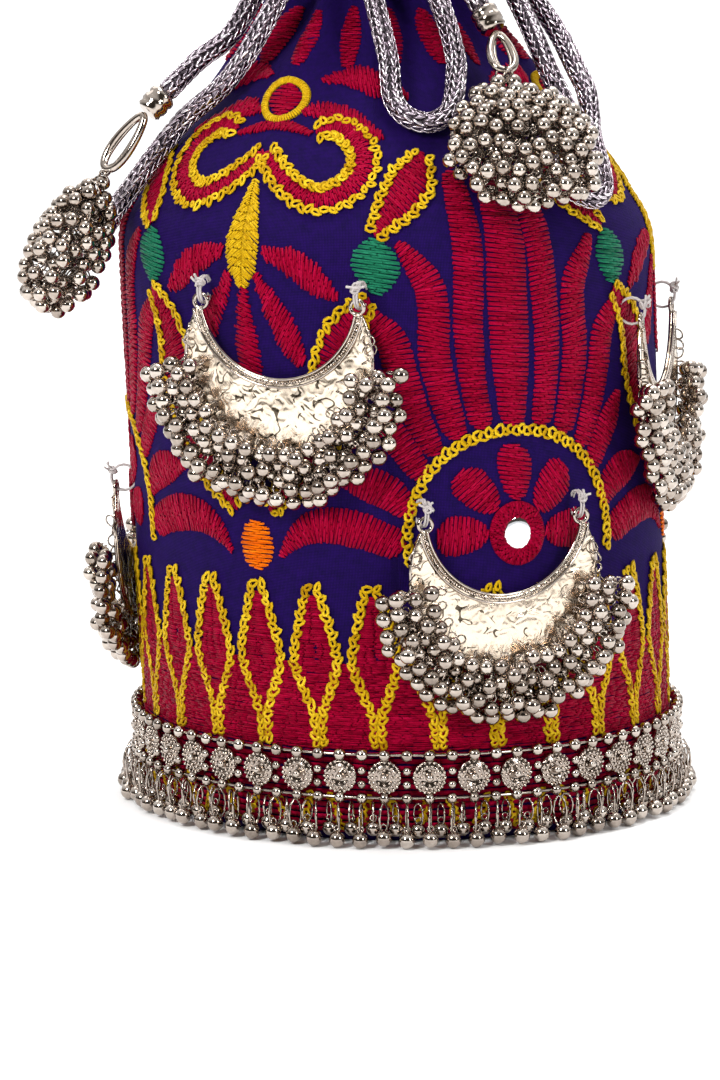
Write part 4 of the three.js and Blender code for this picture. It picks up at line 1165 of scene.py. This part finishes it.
def add_green(number, axis, hand):
    """Green spot between the motifs, and the outlined crimson leaf that grows from it."""
    green, leaf, outline = Pile(), Pile(), Pile()
    middle = (GREEN_LEVELS[0] + GREEN_LEVELS[1]) / 2
    satin(green, axis, ((1, GREEN_LEVELS[0]), (1, middle), (1, GREEN_LEVELS[1])),
          (6, 14.2, 7.5), slant=0.12,
          ragged=0.8)
    green.build("green_%d_stitches" % number, GREEN, "green_spot_%d" % number)
    outlined(leaf, outline, axis, UPPER_LEAF, UPPER_LEAF_WIDTHS, 0.9, hand, (-1, 1), slant=0.2)
    leaf.build("upper_leaf_%d_crimson" % number, CRIMSON)
    outline.build("upper_leaf_%d_chain" % number, YELLOW)


def add_embroidery():
    add_hem()
    for k in range(REPEAT_COUNT):
        add_lotus(k + 1, LOTUS_ANGLE + 120 * k)
        add_ogee(k + 1, OGEE_ANGLE + 120 * k)
    for k in range(2 * REPEAT_COUNT):
        add_green(k + 1, 60 * k, 1 if k % 2 == 0 else -1)


# Crescent pendants. Local X is the line through both holes, and -Y faces away from the wall.

class PendantPlace:
    """Where a pendant hangs: its own millimetres put in the bag's frame."""

    def __init__(self, angle, level):
        turn = math.radians(angle)
        tilt = -math.atan(LEAN_SLOPE * math.sin(turn))
        self.origin = on_cloth(float(angle), float(level), CRESCENT_STAND_OFF)
        self.rotation = about_z(turn) @ about_x(tilt)

    def put(self, points):
        return self.origin + self.turn(points)

    def turn(self, directions):
        return np.asarray(directions, float) @ self.rotation.T


def plate_arcs(shares):
    """Points on the inner and the outer edge of the plate, from horn to horn."""
    drop = PLATE_OUTER_DROP + PLATE_INNER_RISE
    tip = (PLATE_OUTER_RADIUS**2 - PLATE_INNER_RADIUS**2 - drop**2) / (2 * drop)
    edges = []
    for radius, rise, extra in (
            (PLATE_INNER_RADIUS, PLATE_INNER_RISE, math.asin(tip / PLATE_INNER_RADIUS)),
            (PLATE_OUTER_RADIUS, -PLATE_OUTER_DROP, math.asin((tip + drop) / PLATE_OUTER_RADIUS))):
        turn = math.pi - extra + shares * (math.pi + 2 * extra)
        edges.append(points_of(radius * np.cos(turn), 0 * turn, rise + radius * np.sin(turn)))
    return edges


def hammered(x, z, dents):
    """Depth of the hammer marks at places on the plate."""
    away = (x[..., None] - dents[:, 0])**2 + (z[..., None] - dents[:, 1])**2
    return (dents[:, 2] * np.exp(-away / dents[:, 3]**2)).sum(axis=-1)


def add_plate(pile, place):
    shares = np.linspace(0.03, 0.97, 84)
    inner, outer = plate_arcs(shares)
    across = np.linspace(0, 1, 17)[None, :, None]
    face = inner[:, None] * (1 - across) + outer[:, None] * across
    dents = points_of(rng.uniform(-26, 26, 260), rng.uniform(-42, 2, 260), rng.uniform(-0.16, 0.12, 260),
                      rng.uniform(0.7, 1.5, 260))
    dome = 0.45 * np.sin(np.pi * across[..., 0])
    front, back = face.copy(), face.copy()
    front[..., 1] = -PLATE_THICKNESS / 2 - dome + hammered(face[..., 0], face[..., 2], dents)
    back[..., 1] = PLATE_THICKNESS / 2 - 0.3 * dome
    loop = np.concatenate([front, back[:, ::-1]], axis=1)
    lattice(pile, place.put(loop), closed_columns=True, tone=0.6)
    wide = loop.shape[1]
    for end, flip in ((0, 1), (len(loop) - 1, -1)):
        corners = [(k, k + 1, wide - 2 - k, wide - 1 - k)[::flip] for k in range(wide // 2 - 1)]
        pile.add(place.put(loop[end]), [corners], 0.6)


def add_rims(pile, place):
    """Milled rim: tiny beads between two smooth ridges, a rolled outer edge, and eyes at the horns."""
    shares = np.linspace(0.035, 0.965, 64)
    inner, outer = plate_arcs(shares)
    toward = unit(outer[32] - inner[32])
    for reach, height, radius in ((0.15, -0.9, 0.42), (RIM_WIDTH, -1.1, 0.38)):
        inward = unit(inner - np.array([0, 0, PLATE_INNER_RISE])) * reach
        line = inner + inward + np.array([0, height, 0])
        tubes(pile, place.put(line)[None], radius, 5, place.turn(toward), tone=0.55)
    line = outer + np.array([0, -0.35, 0])
    tubes(pile, place.put(line[2:-2])[None], 0.5, 5, place.turn(toward), tone=0.5)
    bead_at = np.linspace(0.045, 0.955, 76)
    bead, _ = plate_arcs(bead_at)
    bead = bead + unit(bead - np.array([0, 0, PLATE_INNER_RISE])) * 1.2 + np.array([0, -1.0, 0])
    balls(pile, place.put(bead), 0.46, 5, 3, rng.uniform(0.3, 0.7, len(bead)))
    facing = place.turn((0, 1.0, 0))
    eyes = place.put(np.array([(-HOLE_SPACING / 2, -0.2, 0), (HOLE_SPACING / 2, -0.2, 0)], float))
    wire_rings(pile, eyes, facing, 1.95, 0.6, 18, 6)
    reach = HOLE_SPACING / 2 + 0.6
    small = place.put(np.array([(-reach, -1.0, -5.2), (reach, -1.0, -5.2)]))
    wire_rings(pile, small, facing, 1.1, 0.3, 14, 5)


def fringe_places():
    """Ball centres of the fringe: crowded rows that hang from the plate's outer edge and over it."""
    points = []
    for reach, depth, count in FRINGE_ROWS:
        turn = np.radians(np.linspace(185, 355, count) + rng.normal(0, 1.4, count))
        radius = PLATE_OUTER_RADIUS + reach + rng.normal(0, 0.8, count)
        depth = depth + rng.uniform(-0.4, 1.4, count)
        height = radius * np.sin(turn) - PLATE_OUTER_DROP - FRINGE_DROP
        points.append(points_of(radius * np.cos(turn), -depth, height))
    points = np.vstack(points)

    def keep(some):
        some = some.copy()
        recess = BODY_RADIUS - np.sqrt(BODY_RADIUS**2 - np.clip(some[:, 0], -60, 60)**2)
        from_middle = np.hypot(some[:, 0], some[:, 2] + PLATE_OUTER_DROP)
        on_plate = from_middle < PLATE_OUTER_RADIUS + 2
        limit = np.where(on_plate, -3.6, np.minimum(recess * 0.6, 3) - 2.3)
        some[:, 1] = np.clip(some[:, 1], -8.2, limit)
        return some

    return spread_apart(points, 4.3, keep)


def add_fringe(pile, place):
    places = fringe_places()
    count = len(places)
    radii = rng.normal(FRINGE_BALL, 0.07, count)
    balls(pile, place.put(places), radii, 12, 7, rng.uniform(0.2, 0.75, count))
    middle = np.array([0, 0, -PLATE_OUTER_DROP])
    inward = unit(middle - places * np.array([1, 0, 1]) + rng.normal(0, 5, places.shape))
    facing = np.cross(inward, rng.normal(0, 1, places.shape))
    wire_rings(pile, place.put(places + inward * 2.9), place.turn(facing), 1.2, 0.28, 8, 3, tone=0.35)
    turn = np.radians(np.linspace(168, 372, 34))
    edge = points_of(np.cos(turn), 0 * turn, np.sin(turn)) * (PLATE_OUTER_RADIUS - 0.6)
    edge += middle + np.array([0, -1.2, 0]) + rng.normal(0, 0.3, edge.shape)
    wire_rings(pile, place.put(edge), place.turn(rng.normal(0, 1, edge.shape)), 1.7, 0.32, 10, 3, tone=0.4)


def add_knot(pile, place, side):
    """Cotton thread through a horn: two strands in a loop that it can turn in, a knot and loose ends."""
    tilt = math.radians(LOOP_TILT)
    centre = np.array([side * HOLE_SPACING / 2, LOOP_RADIUS * math.sin(tilt), LOOP_RADIUS * math.cos(tilt)])
    sideways = place.turn((1.0, 0, 0))
    turn = np.radians(np.linspace(LOOP_OPENING, 360 - LOOP_OPENING, 15))
    loop = centre + LOOP_RADIUS * points_of(0 * turn, np.cos(turn), np.sin(turn))
    for shift in (-0.38, 0.38):
        tubes(pile, place.put(loop + (shift, 0, 0))[None], 0.38, 4, sideways, tone=0.5)
    knot_turn = math.radians(KNOT_ANGLE)
    knot = centre + (LOOP_RADIUS + 0.3) * np.array([0, math.cos(knot_turn), math.sin(knot_turn)])
    spots = knot + rng.normal(0, 0.35, (5, 3))
    facing = place.turn(rng.normal(0, 1, (5, 3)))
    wire_rings(pile, place.put(spots), facing, 0.95, 0.42, 9, 4, tone=0.55)
    for away in ((side * 0.9, -0.5, 0.5), (side * -0.5, -0.8, 0.5), (side * 0.2, -0.6, 1.0)):
        away = unit(np.array(away) + rng.normal(0, 0.2, 3))
        ends = catmull_rom([knot, knot + away * 1.5, knot + away * 2.9 + rng.normal(0, 0.4, 3)], 3)
        tubes(pile, place.put(ends)[None], 0.36, 4, sideways, tone=0.6)


def add_crescents():
    for number, (angle, level) in enumerate(CRESCENT_PLACES, start=1):
        place = PendantPlace(angle, level)
        body = "crescent_%d_body" % number
        plate, fringe = Pile(), Pile()
        add_plate(plate, place)
        add_rims(fringe, place)
        add_fringe(fringe, place)
        plate.build("crescent_%d_plate" % number, PLATE, "crescent_%d" % number, body)
        fringe.build("crescent_%d_fringe" % number, METAL, "crescent_%d" % number, body)
        for side, word in ((-1, "left"), (1, "right")):
            knot = Pile()
            add_knot(knot, place, side)
            name = "thread_%d_%s" % (number, word)
            knot.build(name + "_knot", COTTON, name)


# Foot trim

def round_foot(count, radius, height, shift=0.0):
    """Points round the foot, and their outward directions."""
    turn = np.radians((np.arange(count) + shift) * 360 / count)
    out = points_of(np.sin(turn), -np.cos(turn), 0 * turn)
    points = out * radius
    points[:, 2] = height
    return points, out


def add_trim():
    """Granulated medallions between two rails of beads, with long jump rings and a double row of drops."""
    wall = float(wall_radius(TOP_RAIL_HEIGHT)) + SEAT_GAP
    rail = wall + RAIL_STAND_OFF
    middle = (TOP_RAIL_HEIGHT + LOW_RAIL_HEIGHT) / 2
    discs = Pile()
    centres, out = round_foot(MEDALLION_COUNT, wall, middle, 0.5)
    profile = ((0.02, 0.0), (MEDALLION_RADIUS - 0.3, 0.0), (MEDALLION_RADIUS, 0.5), (MEDALLION_RADIUS, 1.5),
               (MEDALLION_RADIUS - 0.5, 1.9), (3.4, 1.7), (3.2, 2.1), (2.6, 2.1), (2.3, 1.8), (0.02, 2.2))
    for centre, away in zip(centres, out):
        side = np.cross(away, UP)
        turned_form(discs, centre + away * 0.9, away, side, UP, profile, 16, 0.4)
        for radius, count, size, depth in MEDALLION_GRANULES:
            balls(discs, centre + away * depth + radius * circle(count, side, UP), size, 5, 3, 0.6)
        balls(discs, centre + away * 3.4, 1.15, 8, 5, 0.7)
    discs.build("medallions", METAL)

    rails = Pile()
    for height, radius, count in ((TOP_RAIL_HEIGHT + 0.6, 1.8, 80), (LOW_RAIL_HEIGHT - 0.2, 1.6, 80)):
        beads, _ = round_foot(count, rail + 0.3, height)
        balls(rails, beads, radius, 10, 6, rng.uniform(0.3, 0.75, count))
        bars, _ = round_foot(120, rail - 0.2, height)
        tubes(rails, bars[None], 0.5, 4, UP, closed=True, tone=0.5)
    for height in (middle - 1.9, middle + 1.9):
        beads, _ = round_foot(MEDALLION_COUNT, wall + 3.2, height)
        balls(rails, beads, 1.25, 8, 5, rng.uniform(0.3, 0.75, MEDALLION_COUNT))
    rails.build("bead_rails", METAL, "foot_trim")

    drops = Pile()
    for shift, reach, lowest, size in ((0.0, 3.2, DROP_RADIUS + 0.05, DROP_RADIUS), (0.5, 0.2, 4.6, 2.2)):
        places, out = round_foot(DROP_COUNT, rail + reach, lowest, shift)
        places = places + out * rng.uniform(-0.8, 0.8, (DROP_COUNT, 1))
        places[:, 2] += rng.uniform(0, 0.7, DROP_COUNT)
        balls(drops, places, size, 10, 7, rng.uniform(0.25, 0.75, DROP_COUNT))
        top, _ = round_foot(DROP_COUNT, rail + 0.8, LOW_RAIL_HEIGHT - 2.4, shift)
        high = (places + top) / 2 + np.array([0, 0, 1.1])
        long = (top[:, 2] - places[:, 2]).mean() / 2 / 2.0
        facing = np.cross(out, UP) + out * rng.uniform(-0.8, 0.8, (DROP_COUNT, 1))
        wire_rings(drops, high, facing, 2.0, 0.36, 10, 3, 0.5, stretch=(UP, long))
        wire_rings(drops, places + np.array([0, 0, size + 0.6]), out, 0.9, 0.28, 8, 3, 0.4)
    drops.build("trim_drops", METAL)


# Making it all

add_camera()
cords = {name: knitted_cord(name) for name in CORD_ROUTES}
tassel_pieces = {side: add_tassel(side, cords[spec["cord"]][0]) for side, spec in TASSELS.items()}
add_cloth()
add_lining()
add_base()
add_embroidery()
add_crescents()
add_trim()
add_studio()
